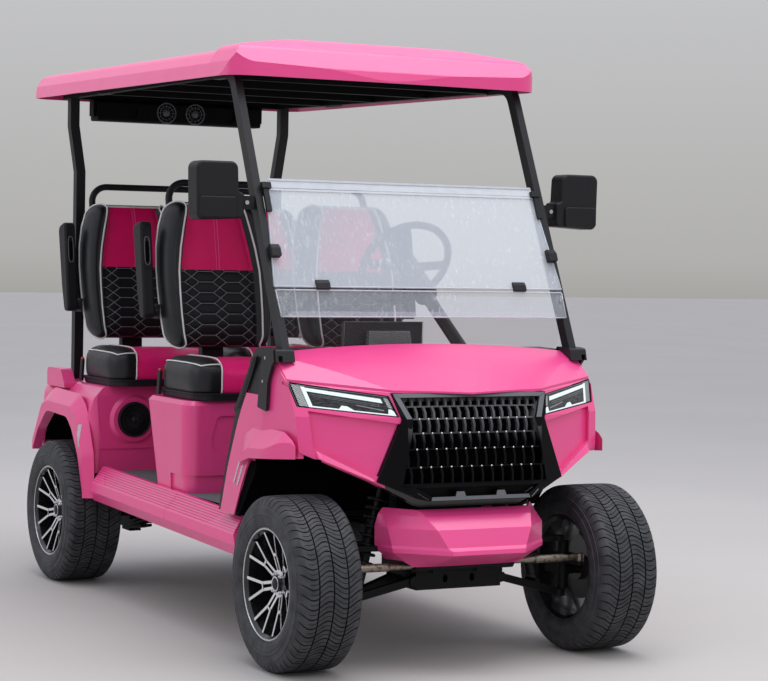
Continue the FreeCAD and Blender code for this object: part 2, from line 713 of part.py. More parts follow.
def make_front_flares():
    wide = [(-776, 640), (-776, 698, 20), (-812, 764, 40), (-885, 794, 60), (-1132, 790, 60), (-1196, 766, 40),
            (-1256, 716, 14), (-1256, 640)]
    narrow = [(-866, 640), (-868, 686, 10), (-888, 706, 16), (-925, 720, 30), (-1120, 730, 30), (-1172, 724, 20),
              (-1224, 706, 8), (-1224, 640)]
    opening = [(-700, 600), (-775, 640), (-864, 668, 30), (-932, 686, 60), (-1130, 700, 60), (-1300, 712),
               (-1300, 600)]
    shape = flare(wide, narrow, opening, 600)
    nose_side = prism_z([(643, -1000), (640, -1080, 300), (594, -1240), (594, -1300), (720, -1300), (720, -1000)],
                        500, 900)
    return both_sides(shape.cut(nose_side).cut(cowl_mass(-fit_gap, -fit_gap, fit_gap)))


def make_rear_flares():
    wide = [(684, 374), (703, 554, 60), (793, 741, 70), (866, 787, 60), (1180, 797, 80), (1275, 762, 60),
            (1392, 570, 30), (1392, 520), (1100, 520), (1100, 374)]
    narrow = [(712, 374), (733, 548, 60), (822, 700, 70), (880, 735, 50), (1170, 742, 60), (1245, 722, 50),
              (1362, 556, 30), (1362, 520), (1100, 520), (1100, 374)]
    opening = [(716, 300), (720, 396), (785, 547, 120), (862, 647, 90), (924, 691, 80), (1180, 700, 90),
               (1290, 612, 80), (1350, 530), (1350, 300)]
    shape = flare(wide, narrow, opening, 600)
    return both_sides(shape.cut(rear_mass(-fit_gap)))


def make_sills():
    """The rocker step on each side, with fine ribs on its sloping tread and a joint halfway."""
    def section(y, rise):
        top = sill_top + rise
        return outline([(sill_inner_x, sill_bottom + rise), (604, sill_bottom - 6 + rise), (sill_x, 392 + rise),
                        (sill_x - 6, 426 + rise), (566, top), (sill_inner_x, top)],
                       lambda x, z: Vector(x, y, z))
    front_y, rear_y, joint_y = -800.0, 682.0, -116.0
    front_rise, rear_rise = -26.0, 14.0
    sill = Part.makeLoft([section(front_y, front_rise), section(rear_y, rear_rise)], True, True)
    slope = (rear_rise - front_rise) / (rear_y - front_y)

    def tread(share, y):
        """A point on the tread, from its lower edge to its upper edge, at a place along the sill."""
        rise = front_rise + (y - front_y) * slope
        low = Vector(sill_x - 6, y, 426 + rise)
        high = Vector(566, y, sill_top + rise)
        return low + (high - low) * share
    across = (tread(1, 0) - tread(0, 0)).normalize()
    ribs = 7
    for rib in range(ribs):
        share = (rib + 1.0) / (ribs + 0.8)
        slant = 14.0 * (ribs - 1 - rib)
        for y0, y1 in ((-600 + slant, joint_y - 8), (joint_y + 8, 640 - slant)):
            sill = sill.cut(bar(tread(share, y0), tread(share, y1), 3.4, 6.0, across))
    joint = block(sill_inner_x + 12, 700, joint_y - 1, joint_y + 1, 300, 600)
    joint = joint.cut(block(0, 700, joint_y - 2, joint_y + 2, 300, 600).common(moved(sill, -2.5, 0, -2.5)))
    sill = sill.cut(joint).cut(prism_x(front_arch, 500, 700))
    return both_sides(sill)


def make_floor():
    """The floor sheet, turned up in front as the toe board and firewall between the cowl's sides."""
    t = floor_thickness
    rear = pod_front_y - fit_gap
    rows = [(rear, floor_z), (-770, floor_z), (-905, 640), (-925, 840)]
    under = [(-925 - t, 840), (-905 - t, 640 - t / 2), (-770 - t / 2, floor_z - t), (rear, floor_z - t)]
    sheet = prism_x(rows + under, -700, 700)
    between_sills = block(fit_gap - sill_inner_x + 3, sill_inner_x - 3 - fit_gap, -640, 800, 400, 900)
    in_cowl = cowl_mass(panel + fit_gap, 0, 40).cut(block(-700, 700, -620, 0, 400, 1200))
    return sheet.common(between_sills.fuse(in_cowl))


def pod_mass(inset, top_z, bottom_z):
    """The front seat base: a rounded box that widens towards its top."""
    def level(x, y0, y1, z):
        radius = 58.0 - inset
        corners = [(x - inset, y0 + inset, radius), (x - inset, y1 - inset, radius),
                   (-x + inset, y1 - inset, radius), (-x + inset, y0 + inset, radius)]
        return outline(corners, lambda a, b: Vector(a, b, z))
    return Part.makeLoft([level(545, -152, 178, bottom_z), level(558, -180, 262, top_z)], True, True)


def make_seat_pod():
    """The front seat base, a moulded shell with a chamfered top, a dished front and a kick step."""
    outer = pod_mass(0, deck_z, floor_z + fit_gap)
    top_edges = [edge for edge in outer.Edges if in_plane("Z", deck_z)(edge)]
    outer = outer.makeChamfer(16, top_edges)
    shell = outer.cut(pod_mass(panel + 5, deck_z - panel - 3, floor_z - 20))
    dish = prism_y([(-470, 620, 60), (-430, 770, 20), (430, 770, 20), (470, 620, 60)], -400, -156)
    dish = dish.cut(pod_mass(9, deck_z, floor_z - 20))
    kick = block(-600, 600, -400, 0, 400, 545).cut(pod_mass(8, deck_z, floor_z - 20))
    return shell.cut(dish).cut(kick)


def rear_mass(inset):
    """The rear body as a solid: the front view, side view and plan cut from one another."""
    i = inset
    top = deck_z - i
    front_y = pod_front_y + i
    front = prism_y(mirror_outline([(0, top), (536, top, 30), (584 - i, 780, 50), (604 - i, 690),
                                    (606 - i, 470), (0, 470)]), 700, 1500)
    side = prism_x([(front_y, 470), (front_y, 780, 40), (front_y + 18, top), (1330, top), (1392 - i, 780, 60),
                    (1412 - i, 600), (1386 - i, 470)], -700, 700)
    plan = prism_z([(606 - i, front_y, 50 - i), (606 - i, 1412 - i, 110), (i - 606, 1412 - i, 110),
                    (i - 606, front_y, 50 - i)], 400, 900)
    return front.common(side).common(plan)


def make_rear_body():
    """The rear body shell: its seat deck, a raised rim round the seat, and a wheel arch on each side."""
    outer = rear_mass(0)
    rim_side = [(1085, 800), (1085, deck_z - 8), (1140, 878, 30), (1310, 878, 50), (1388, 800)]
    rim = prism_x(rim_side, -596, 596).common(prism_z(
        [(598, 1000), (590, 1396, 90), (-590, 1396, 90), (-598, 1000)], 700, 1000))
    rim = rim.cut(prism_z([(548, 900), (540, 1352, 60), (-540, 1352, 60), (-548, 900)], deck_z, 1000))
    shell = outer.fuse(rim).cut(rear_mass(deck_panel).fuse(block(-580, 580, 762, 1380, 440, 500)))
    behind = rear_mass(0).cut(block(-800, 800, 700, pod_front_y + 5, 0, 900))
    kick = block(-560, 560, 700, pod_front_y + 7, 400, 570).cut(behind)
    dish = prism_y([(-560, 640, 90), (-520, 590, 40), (520, 590, 40), (560, 640, 90), (575, 790, 20),
                    (-575, 790, 20)],
                   700, pod_front_y + 3.5)
    shell = shell.cut(kick).cut(dish)
    for side in both_sides(prism_x(rear_arch, 380, 700)):
        shell = shell.cut(side)
    rings = []
    for x in (-speaker_x, speaker_x):
        ring = Part.makeCone(104, 90, 14, Vector(x, pod_front_y + 4, speaker_z), Vector(0, -1, 0))
        seat = rod(Vector(x, pod_front_y + 3.6, speaker_z), Vector(x, 700, speaker_z), speaker_radius + 1)
        rings.append(ring.cut(seat))
    return shell.multiFuse(rings)


def make_liners():
    """Black inner arches: a bent sheet over each wheel."""
    def sheet(rows, inner_x, outer_x):
        return prism_x(band(rows, 2.5), inner_x, outer_x)
    front = sheet([(-1300, 690), (-1262, 715), (-928, 715)], 330, 600)
    rear = sheet([(738, 440), (800, 560), (880, 670), (940, 702), (1170, 708), (1280, 650), (1346, 560)], 380, 598)
    front = front.common(cowl_mass(panel + fit_gap, nose_wall + 1, 200))
    rear = rear.common(rear_mass(deck_panel + fit_gap))
    return both_sides(front) + both_sides(rear)


def make_tail_lamps():
    lamp = prism_y([(470, 600, 12), (560, 600, 12), (560, 790, 12), (470, 790, 12)], 1340, 1424)
    mask = rear_mass(0)
    grown = moved(mask, 0, 10, 0).common(lamp)
    return both_sides(grown.cut(mask))


def make_rear_bumper():
    """A round-cornered tube bumper on two arms, the rearmost part of the cart."""
    r = 24.0
    z = 430.0
    end_y = 1410.0
    back = half_length - r
    tube = pipe([Vector(-470, end_y, z), Vector(-440, back, z), Vector(440, back, z), Vector(470, end_y, z)], r, 26)
    arms = both_sides(block(rail_inner_x + 8, rail_inner_x + 42, rail_rear_y + 0.3, back, 398, 438))
    return tube.multiFuse(arms)


column_axis = Vector(0, math.cos(math.radians(column_angle)), math.sin(math.radians(column_angle)))


def make_dashboard():
    """The dash: a moulded beam across the cart with a glove tray and a column shroud."""
    section = [(-1004, 1036), (-996, 1052), (-822, 1058, 30), (-780, 1010, 30), (-812, 905, 30), (-880, 850),
               (-924.5, 850), (-924.5, 1020)]
    dash = prism_x(section, -640, 640).common(cowl_mass(panel + fit_gap, nose_wall + 1, 100))
    for corner in both_sides(block(530, 700, -1100, -935, 800, 1200)):
        dash = dash.cut(corner)
    tray = block(-470, -70, -870, -700, 925, 1000)
    socket = rod(wheel_centre - column_axis * 700, wheel_centre - column_axis * 400, column_radius + fit_gap)
    return dash.cut(tray).cut(socket)


def make_column():
    """The steering column tube with its shroud, from the dash to just below the wheel."""
    top = wheel_centre - column_axis * 60
    low = wheel_centre - column_axis * 640
    tube = rod(low, top, column_radius)
    shroud = rod(top - column_axis * 150, top - column_axis * 4, 44)
    bore = rod(wheel_centre - column_axis * 260, wheel_centre, 13 + running_gap)
    return tube.fuse(shroud).cut(bore)


def make_steering_wheel():
    """A padded rim, three spokes, a boss and the stub shaft in the column."""
    rim = Part.makeTorus(wheel_rim_radius, wheel_grip_radius, wheel_centre, column_axis)
    boss = rod(wheel_centre - column_axis * 46, wheel_centre - column_axis * 4, 46)
    shaft = rod(wheel_centre - column_axis * 180, wheel_centre - column_axis * 40, 13)
    side = Vector(1, 0, 0)
    down = column_axis.cross(side)
    spokes = []
    for direction in (side, side * -1, down):
        towards = direction if direction != down else (down if down.z < 0 else down * -1)
        start = wheel_centre - column_axis * 22 + towards * 30
        end = wheel_centre - column_axis * 2 + towards * wheel_rim_radius
        spokes.append(bar(start, end, 34, 10, side if direction == down else down))
    return rim.multiFuse([boss, shaft] + spokes)


def make_pedals():
    """The brake and drive pedals on their arms, standing on the toe board."""
    pads = []
    for x0, x1 in ((190, 268), (300, 356)):
        pad = prism_x([(-860, 612), (-848, 606), (-790, 690), (-802, 698)], x0, x1)
        arm = prism_x([(-850, 600), (-838, 610), (-882, 640), (-890, 622)], (x0 + x1) / 2 - 9, (x0 + x1) / 2 + 9)
        foot = pad.fuse(arm)
        pads.append(foot.cut(make_floor()))
    return pads


# Seats

def make_cushions(shift):
    """Two seat cushions of one row."""
    y0 = cushion_front_y + shift
    y1 = y0 + cushion_depth
    shape = block(12, seat_outer_x, y0, y1, cushion_bottom, cushion_top)
    shape = round_edges(shape, 40, lambda e: e.BoundBox.ZLength > 100)
    shape = round_edges(shape, 22, in_plane("Z", cushion_top))
    return both_sides(shape)


def lean(y, z):
    """The y of a point on the reclined back at height z, where y is its place at the back's foot."""
    return y + (z - back_bottom) * recline


def back_section(front_y, rear_y, low, high, radius):
    return [
        (lean(front_y, low), low, radius), (lean(front_y, high), high, radius),
        (lean(rear_y, high), high, radius), (lean(rear_y, low), low, radius),
    ]


def make_backs(shift):
    """Two bucket-shaped seat backs of one row, narrower at the shoulders."""
    face = back_face_y + shift
    slab = prism_x(back_section(face, face + back_thickness, back_bottom, back_top, 26), 0, 600)
    x0, x1 = seat_inner_x, seat_outer_x
    front_view = [(x0 + 46, back_bottom, 60), (x1 - 46, back_bottom, 60), (x1 - 6, 1150, 200), (x1, 1320, 200),
                  (x1 - 62, back_top, 60), (x0 + 62, back_top, 60), (x0, 1320, 200), (x0 + 6, 1150, 200)]
    shape = slab.common(prism_y(front_view, face - 100, face + 400))
    return both_sides(shape)


def make_seat_shells(shift):
    """The black shells behind the backs, each with its foot on the seat base."""
    face = back_face_y + back_thickness + 0.5 + shift
    shell = prism_x(back_section(face, face + 22, back_bottom + 30, back_top - 60, 8), 0, 600)
    x0, x1 = seat_inner_x, seat_outer_x
    shell = shell.common(prism_y([(x0 + 60, 1000, 40), (x1 - 60, 1000, 40), (x1 - 18, 1320, 200),
                                  (x1 - 80, 1560, 40), (x0 + 80, 1560, 40), (x0 + 18, 1320, 200)],
                                 face - 100, face + 400))
    y = face + 4
    return shell, y


def make_seat_frames(shift, base_z):
    """Seat shells, the post below each and the grab rail that ties the pair."""
    shell, y = make_seat_shells(shift)
    foot_y = cushion_front_y + cushion_depth + shift + 6
    middle = (seat_inner_x + seat_outer_x) / 2
    post = prism_x([(foot_y, base_z), (foot_y + 34, base_z), (y + 34, 1100), (y + 22, 1160), (y + 4, 1160),
                    (foot_y, 1000)], middle - 45, middle + 45)
    back_plane = prism_x(back_section(y - 300, y - 4.0, 700, 1700, 0), 0, 600)
    side = shell.multiFuse([post.cut(back_plane), make_arm_bracket(shift)])
    rail_y = lean(y + 40, 1560)
    rail_foot = lean(y + 14, 1250)
    rail = pipe([Vector(-430, rail_foot, 1250), Vector(-430, rail_y, 1655), Vector(430, rail_y, 1655),
                 Vector(430, rail_foot, 1250)], 14, 70)
    return both_sides(side)[0].multiFuse([both_sides(side)[1], rail])


def make_armrest(shift, side):
    """A raised armrest on its pivot pin, tapering to the pivot."""
    rows = [(arm_pivot_y - 24, arm_pivot_z - 26, 18), (arm_pivot_y - 12, arm_pivot_z + 60, 60),
            (arm_pivot_y + 34, arm_pivot_z + 352, 22), (arm_pivot_y + 116, arm_pivot_z + 330, 30),
            (arm_pivot_y + 62, arm_pivot_z + 80, 80), (arm_pivot_y + 26, arm_pivot_z - 26, 18)]
    arm = prism_x(rows, arm_x0, arm_x1)
    arm = round_edges(arm, 10, lambda e: in_plane("X", arm_x1)(e) or in_plane("X", arm_x0)(e))
    hole = rod(Vector(arm_x0 - 5, arm_pivot_y, arm_pivot_z),
               Vector(arm_x0 + arm_pin_depth + fit_gap, arm_pivot_y, arm_pivot_z), arm_pin_radius + fit_gap)
    arm = moved(arm.cut(hole), 0, shift, 0)
    return arm if side > 0 else mirrored(arm)


def make_arm_bracket(shift):
    """The bent plate on a seat shell's edge with the pin of its armrest."""
    y, z = arm_pivot_y + shift, arm_pivot_z
    half = 28.0
    rear_y = lean(back_face_y + back_thickness + shift + 10, z)
    plate_x = seat_outer_x + 5
    web = block(seat_outer_x - 50, plate_x + 6, rear_y, rear_y + 8, z - half, z + half)
    plate = block(plate_x, plate_x + 6, y - 22, rear_y + 8, z - half, z + half)
    boss = rod(Vector(plate_x, y, z), Vector(arm_x0 - fit_gap, y, z), 20)
    pin = rod(Vector(plate_x, y, z), Vector(arm_x0 + arm_pin_depth, y, z), arm_pin_radius)
    return web.multiFuse([plate, boss, pin])


# Windscreen, pillars and roof

def pillar_y(z):
    return pillar_foot.y + (z - pillar_foot.z) * pillar_lean


def pitched(shape):
    """Tips a roof part nose-down, about a crosswise line at the roof's lower edge."""
    copy = shape.copy()
    copy.rotate(Vector(0, 0, roof_bottom), Vector(1, 0, 0), math.degrees(roof_pitch))
    return copy


def rail_place(y):
    """The height of a side rail's middle at a place along the roof."""
    return roof_frame_z + y * roof_pitch


def rail_x(y):
    """The side rails draw in from the front struts to the rear pillars."""
    front_y, rear_y = roof_bar_ys[0], rear_pillar_y
    share = (y - front_y) / (rear_y - front_y)
    return pillar_foot.x + (rear_pillar_x + rear_pillar_spread - pillar_foot.x) * share


def make_front_pillars():
    """Raked struts that bend over into the roof rails, with their hooked foot covers on the cowl's sides."""
    bend_z = rail_place(-590)
    bend_y = pillar_y(bend_z)
    path = [(pillar_y(1000), 1000), (bend_y, bend_z, 90), (roof_bar_ys[0] - 1.3, rail_place(roof_bar_ys[0]))]
    x0, x1 = pillar_foot.x - pillar_width / 2, pillar_foot.x + pillar_width / 2
    strut = prism_x(band(path, pillar_depth / 2), x0, x1)
    cap = prism_x([(-1096, 1000), (-1078, 1062, 12), (-985, 1066, 12), (-975, 1000)], x0 - 8, cowl_cover_x + 5)
    standing = strut.fuse(cap).cut(under_hood(-fit_gap)).cut(block(590, cowl_cover_x, -1200, -900, 900, 1040))
    standing = standing.cut(block(0, 700, -1200, -900, 900, 1020))
    cover = prism_x([(-1070, 1022), (-1060, 1064, 12), (-985, 1066, 12), (-962, 1000, 40), (-940, 860, 6),
                     (-1012, 850, 6), (-1020, 950, 40), (-1050, 1004, 30)], cowl_cover_x, cowl_cover_x + 9)
    return both_sides(standing.fuse(cover).removeSplitter())


def glass_plate(z0, z1, half_low, half_high, offset):
    """A raked pane between two heights, offset forward of the struts' middle."""
    slope = math.hypot(1, pillar_lean)
    middle = (offset + pane_thickness / 2) * slope
    pane = prism_x(band([(pillar_y(z0) - middle, z0), (pillar_y(z1) - middle, z1)], pane_thickness / 2), -700, 700)
    trim = prism_y([(-half_low, z0 - 3, 8), (half_low, z0 - 3, 8), (half_high, z1 + 3, 8), (-half_high, z1 + 3, 8)],
                   -1400, -500)
    return pane.common(trim)


strut_face = pillar_depth / 2 + fit_gap
pane_gap = 6.0


def make_windscreen():
    """The folding pane, the short strip bolted to the struts below it and the pane down to the cowl."""
    folding = glass_plate(pane_overlap_z + pane_gap / 2, 1640, 574, 534, strut_face)
    strip = glass_plate(low_pane_top, pane_overlap_z - pane_gap / 2, 567, 572, strut_face)
    low_half = pillar_foot.x - pillar_width / 2 - 14
    low_top = low_pane_top + 20
    low_y = pillar_y(low_top) - (strut_face - fit_gap) * math.hypot(1, pillar_lean)
    low = block(-low_half, low_half, low_y, low_y + pane_thickness, 1060, low_top)
    low = round_edges(low, 30, lambda e: e.BoundBox.YLength > pane_thickness - 0.1 and e.BoundBox.ZLength < 0.1)
    return [folding, strip, low.cut(under_hood(-2))]


def make_windscreen_fittings():
    """Wedge clips and fold latches at the sides of the folding pane and two hinges at its foot."""
    slope = math.hypot(1, pillar_lean)
    forward = Vector(0, -1 / slope, pillar_lean / slope)
    up = Vector(0, pillar_lean / slope, 1 / slope)
    pane_front = strut_face + pane_thickness + fit_gap
    pieces = []

    def plate(x, z, width, height, depth):
        middle = Vector(x, pillar_y(z), z) + forward * (pane_front + depth / 2)
        return bar(middle - up * (height / 2), middle + up * (height / 2), width, depth, Vector(1, 0, 0))

    for x, z, width, height, depth in ((552, 1376, 34, 46, 24), (391, pane_overlap_z, 50, 34, 12)):
        shape = plate(x, z, width, height, depth)
        middle = Vector(x, pillar_y(z), z) + forward * pane_front
        cut = [middle + forward * depth + up * (height * 0.1) + Vector(s * width, 0, 0) for s in (-1, 1)]
        toe = middle + forward * (depth * 0.45) + up * (height * 0.6)
        shape = shape.cut(beyond([cut[1], toe, cut[0]]))
        pieces += both_sides(shape)
    arm = plate(544, 1556, 20, 96, 11).fuse(plate(541, 1600, 34, 22, 16))
    pieces += both_sides(arm)
    return pieces


def make_rear_pillars():
    """Square posts from the seat deck to the roof frame, with a double bend that spreads them."""
    low_z, high_z = roof_top - 427, roof_top - 231
    top_x = rear_pillar_x + rear_pillar_spread
    path = [(rear_pillar_x, deck_z + fit_gap), (rear_pillar_x, low_z, 90), (top_x, high_z, 90),
            (top_x, roof_top - 47)]
    half = rear_pillar_size / 2
    post = prism_y(band(path, half), rear_pillar_y - half, rear_pillar_y + half)
    above = pitched(block(0, 700, 1000, 1600, roof_frame_z - roof_tube / 2 - fit_gap, roof_top + 253))
    return both_sides(post.cut(above))


def roof_mass(inset, lift, y0, y1):
    """A length of the roof as a solid: one cross-section swept, cut to the side profile and the plan."""
    i = inset
    top = roof_top + lift - i
    low = roof_bottom - (20 if inset else 0)
    w = roof_half_width - i
    edge = roof_edge_z - i * 0.4
    section = mirror_outline([(330, top, 700), (577 - i, top - 35, 60), (w, edge, 12), (w + roof_flare, low)])
    sweep = prism_y(section, y0, y1)
    f, r = roof_front_y + i, half_length - 4 - i
    profile = prism_x([(f, low), (f + 8, roof_top - 97, 12), (f + 62, roof_top - 30 - i, 40),
                       (f + 190, roof_top + 20 - i, 300), (r - 120, roof_top + 20 - i, 300),
                       (r - 26, roof_top - 36 - i, 50), (r, edge, 12), (r - 4, low)], -700, 700)
    corner = 105 - i
    e = w + roof_flare
    plan = prism_z([(e, f + 20, corner), (e, r, corner), (-e, r, corner), (-e, f + 20, corner), (0, f, 2500)],
                   roof_bottom - 112, roof_top + 253)
    return sweep.common(profile).common(plan)


def roof_solid(inset):
    brow = roof_mass(inset, roof_brow, -800, roof_brow_rear_y - inset)
    return brow.fuse(roof_mass(inset, 0, -800, 1600))


def make_roof():
    """The moulded roof: a crowned shell with a turned-down rim and a raised brow along its front."""
    shell = roof_solid(0).cut(roof_solid(roof_shell))
    line_z = roof_top - 60
    line = bar(Vector(600, roof_brow_rear_y - 14, line_z), Vector(600, 1350, line_z), 3, 3, Vector(1, 0, 1))
    for side in both_sides(line):
        shell = shell.cut(side)
    return pitched(shell)


def roof_pads(grown):
    """The posts between the roof frame and the roof, grown by a gap."""
    g = grown
    top = roof_top - roof_shell - 22
    pads = []
    for y in (-150.0, 450.0, 1100.0):
        x = rail_x(y)
        pads += both_sides(block(x - 14 - g, x + 14 + g, y - 17 - g, y + 17 + g, roof_frame_z, top))
    return pads


def make_roof_frame():
    """Square rails with posts up to the roof, and the cross bars between them, each a tube of its own."""
    half = roof_tube / 2
    front_y, rear_y = roof_bar_ys[0], 1400.0
    start = Vector(rail_x(front_y), front_y, roof_frame_z)
    end = Vector(rail_x(rear_y), rear_y, roof_frame_z)
    rail = bar(start, end, roof_tube, roof_tube, Vector(1, 0, 0))
    room = roof_solid(roof_shell + fit_gap)
    posts = [pad.common(room) for pad in roof_pads(0) if pad.BoundBox.XMin > 0]
    tubes = both_sides(pitched(rail.multiFuse(posts)))
    past_end = (end - start).normalize() * 20
    rail_space = both_sides(bar(start - past_end, end + past_end, roof_tube + 2 * fit_gap, roof_tube + 8,
                                Vector(1, 0, 0)))
    for y in roof_bar_ys:
        x = rail_x(y)
        cross_bar = block(-x, x, y, y + roof_tube, roof_frame_z - half, roof_frame_z + half)
        tubes.append(pitched(cross_bar.cut(rail_space[0]).cut(rail_space[1])))
    return tubes


def make_roof_lining():
    """The black sheet above the roof frame, with openings for the frame's posts."""
    z = roof_frame_z + roof_tube / 2 + fit_gap
    narrow = pillar_foot.x - pillar_width / 2 - 5
    step_y = roof_bar_ys[0] + 5
    plan = [(narrow, -640, 60), (narrow, step_y), (562, step_y), (562, 1425, 60),
            (-562, 1425, 60), (-562, step_y), (-narrow, step_y), (-narrow, -640, 60)]
    sheet = prism_z(plan, z, z + 3)
    for pad in roof_pads(2.0):
        sheet = sheet.cut(pad)
    return pitched(sheet)


def make_sound_bar():
    """The long overhead speaker housing under the rear roof bar, with a bracket at each end."""
    half_width, depth, height = 385.0, 92.0, 90.0
    middle = roof_bar_ys[4] + 10
    top = roof_frame_z - roof_tube / 2 - fit_gap
    shape = block(-half_width, half_width, middle - depth / 2, middle + depth / 2, top - height, top)
    shape = round_edges(shape, 14, lambda edge: edge.BoundBox.XLength > 700)
    dishes = [rod(Vector(x, middle, top - 45), Vector(x, middle - 60, top - 45), r)
              for x, r in ((-68, 42), (68, 42), (-230, 30), (230, 30))]
    for dish in dishes:
        shape = shape.cut(moved(dish, 0, -depth / 2 + 8, 0))
    ends = both_sides(block(half_width - 1, half_width + 14, middle - 26, middle + 26, top - 70, top))
    return pitched(shape.multiFuse(ends))


def make_speakers():
    """A round speaker in each ring on the rear seat base."""
    rear = pod_front_y + 3.3
    speakers = []
    for x in (-speaker_x, speaker_x):
        shape = rod(Vector(x, rear, speaker_z), Vector(x, rear - 18, speaker_z), speaker_radius)
        speakers.append(round_edges(shape, 6, in_plane("Y", rear - 18)))
    return speakers


def make_mirrors():
    """Housings with a wider lower step, on stub arms clamped to the struts."""
    y = -800.0
    front_view = [(628, 1500, 12), (802, 1491, 22), (806, 1694, 26), (652, 1694, 26), (648, 1592, 8), (628, 1586, 10)]
    housing = prism_y(front_view, y - 38, y + 42)
    housing = round_edges(housing, 9, in_plane("Y", y - 38))
    housing = housing.cut(prism_y([(666, 1506, 16), (790, 1506, 16), (790, 1680, 16), (666, 1680, 16)], y + 34, y + 60))
    strut_side = pillar_foot.x + pillar_width / 2 + fit_gap
    arm = block(strut_side, 640, y - 20, y + 14, 1532, 1578)
    return both_sides(housing.fuse(arm))


save_wheels()
save("chassis_frame", make_chassis())
save("front_suspension", make_front_suspension())
save("front_shocks", both_sides(make_shock()))
save("knuckle_left", make_knuckle())
save("knuckle_right", mirrored(make_knuckle()))
save("steering_rack", make_rack_housing())
save("tie_rods", make_tie_rods())
save("rear_axle", make_rear_axle())
save("rear_springs", make_rear_springs())
save("battery_pack", block(-420, 420, -70, 130, floor_z + 0.3, 760))
save("front_cowl", make_cowl())
save("hood", make_hood())
save("grille", make_grille())
save("headlamps", make_headlamps())
save("lower_bumper", make_lower_bumper())
save("fender_flares", make_front_flares() + make_rear_flares())
save("sills", make_sills())
save("floor", make_floor())
save("seat_pod", make_seat_pod())
save("rear_body", make_rear_body())
save("wheel_liners", make_liners())
save("tail_lamps", make_tail_lamps())
save("rear_bumper", make_rear_bumper())
save("dashboard", make_dashboard())
save("steering_column", make_column())
save("steering_wheel", make_steering_wheel())
save("pedals", make_pedals())
save("seat_cushions", make_cushions(0) + make_cushions(row_pitch))
save("seat_backs", make_backs(0) + make_backs(row_pitch))
save("seat_frames", [make_seat_frames(shift, deck_z + fit_gap) for shift in (0, row_pitch)])
for row, offset in (("front", 0), ("rear", row_pitch)):
    for name, side in (("left", 1), ("right", -1)):
        save("armrest_" + row + "_" + name, make_armrest(offset, side))
save("roof_pillars", make_front_pillars() + make_rear_pillars())
save("windscreen", make_windscreen())
save("windscreen_fittings", make_windscreen_fittings())
save("roof", make_roof())
save("roof_frame", make_roof_frame())
save("roof_lining", make_roof_lining())
save("sound_bar", make_sound_bar())
save("speakers", make_speakers())
save("mirrors", make_mirrors())
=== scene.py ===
"""Looks of the four-seat golf cart: materials, soft seats, tyres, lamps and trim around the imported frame."""
import math

import bpy
from mathutils import Matrix, Vector, noise
from mathutils.bvhtree import BVHTree


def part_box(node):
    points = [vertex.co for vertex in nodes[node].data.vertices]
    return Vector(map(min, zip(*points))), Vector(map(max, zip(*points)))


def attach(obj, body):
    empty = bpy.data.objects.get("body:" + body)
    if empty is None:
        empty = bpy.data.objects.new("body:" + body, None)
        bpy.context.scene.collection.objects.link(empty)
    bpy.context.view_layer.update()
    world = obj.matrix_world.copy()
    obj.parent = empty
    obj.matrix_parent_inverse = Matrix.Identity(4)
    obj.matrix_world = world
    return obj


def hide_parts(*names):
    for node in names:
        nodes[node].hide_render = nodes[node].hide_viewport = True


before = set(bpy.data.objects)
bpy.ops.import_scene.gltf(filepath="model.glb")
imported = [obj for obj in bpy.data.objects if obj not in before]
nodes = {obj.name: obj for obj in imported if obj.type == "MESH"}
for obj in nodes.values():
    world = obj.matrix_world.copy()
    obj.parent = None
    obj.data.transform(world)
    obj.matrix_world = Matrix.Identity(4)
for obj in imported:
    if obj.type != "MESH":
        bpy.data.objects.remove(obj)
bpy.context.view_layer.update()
scene = bpy.context.scene

MM = 0.001
TURN = 2 * math.pi
X, Y, Z = Vector((1, 0, 0)), Vector((0, 1, 0)), Vector((0, 0, 1))
SIDES = (("left", 1), ("right", -1))

# Places shared with the source, in millimetres
AXLES = (("front", (572.0, -1180.0, 292.0)), ("rear", (572.0, 1020.0, 292.0)))
ROWS = (("front", 0.0), ("rear", 880.0))
SEAT_MIDDLE = 293.5
BACK_FACE = 96.0
BACK_BOTTOM = 1012.0
BACK_TOP = 1578.0
RECLINE = 0.205
PANEL_SPLIT = 1312.0
ROOF_SLOPE = 0.0148

# Cloth of the seat covers: pressure, frames and the farthest that a point may move, in millimetres
PUFF_PRESSURE = 4.0
PUFF_FRAMES = 20
PUFF_CAP = 5.0

# Camera: the photograph's place and angle
CAMERA_PLACE = (-3.6712, -7.7319, 1.3803)
CAMERA_LENS = 102.85
AZIMUTH, ELEVATION, ROLL = -0.48016, 0.03849, 0.01864


def make_camera():
    level = math.cos(ELEVATION)
    back = Vector((math.sin(AZIMUTH) * level, -math.cos(AZIMUTH) * level, math.sin(ELEVATION)))
    right = (-back).cross(Z).normalized()
    up = back.cross(right)
    tilted_right = right * math.cos(ROLL) + up * math.sin(ROLL)
    tilted_up = up * math.cos(ROLL) - right * math.sin(ROLL)
    data = bpy.data.cameras.new("camera")
    data.sensor_width = 36.0
    data.sensor_fit = "HORIZONTAL"
    data.lens = CAMERA_LENS
    camera = bpy.data.objects.new("camera", data)
    scene.collection.objects.link(camera)
    turn = Matrix((tilted_right, tilted_up, back)).transposed().to_4x4()
    camera.matrix_world = Matrix.Translation(CAMERA_PLACE) @ turn
    scene.camera = camera


# Materials

PINK = (0.86, 0.066, 0.275)
PINK_DARK = (0.80, 0.055, 0.245)
MAGENTA = (0.80, 0.004, 0.13)


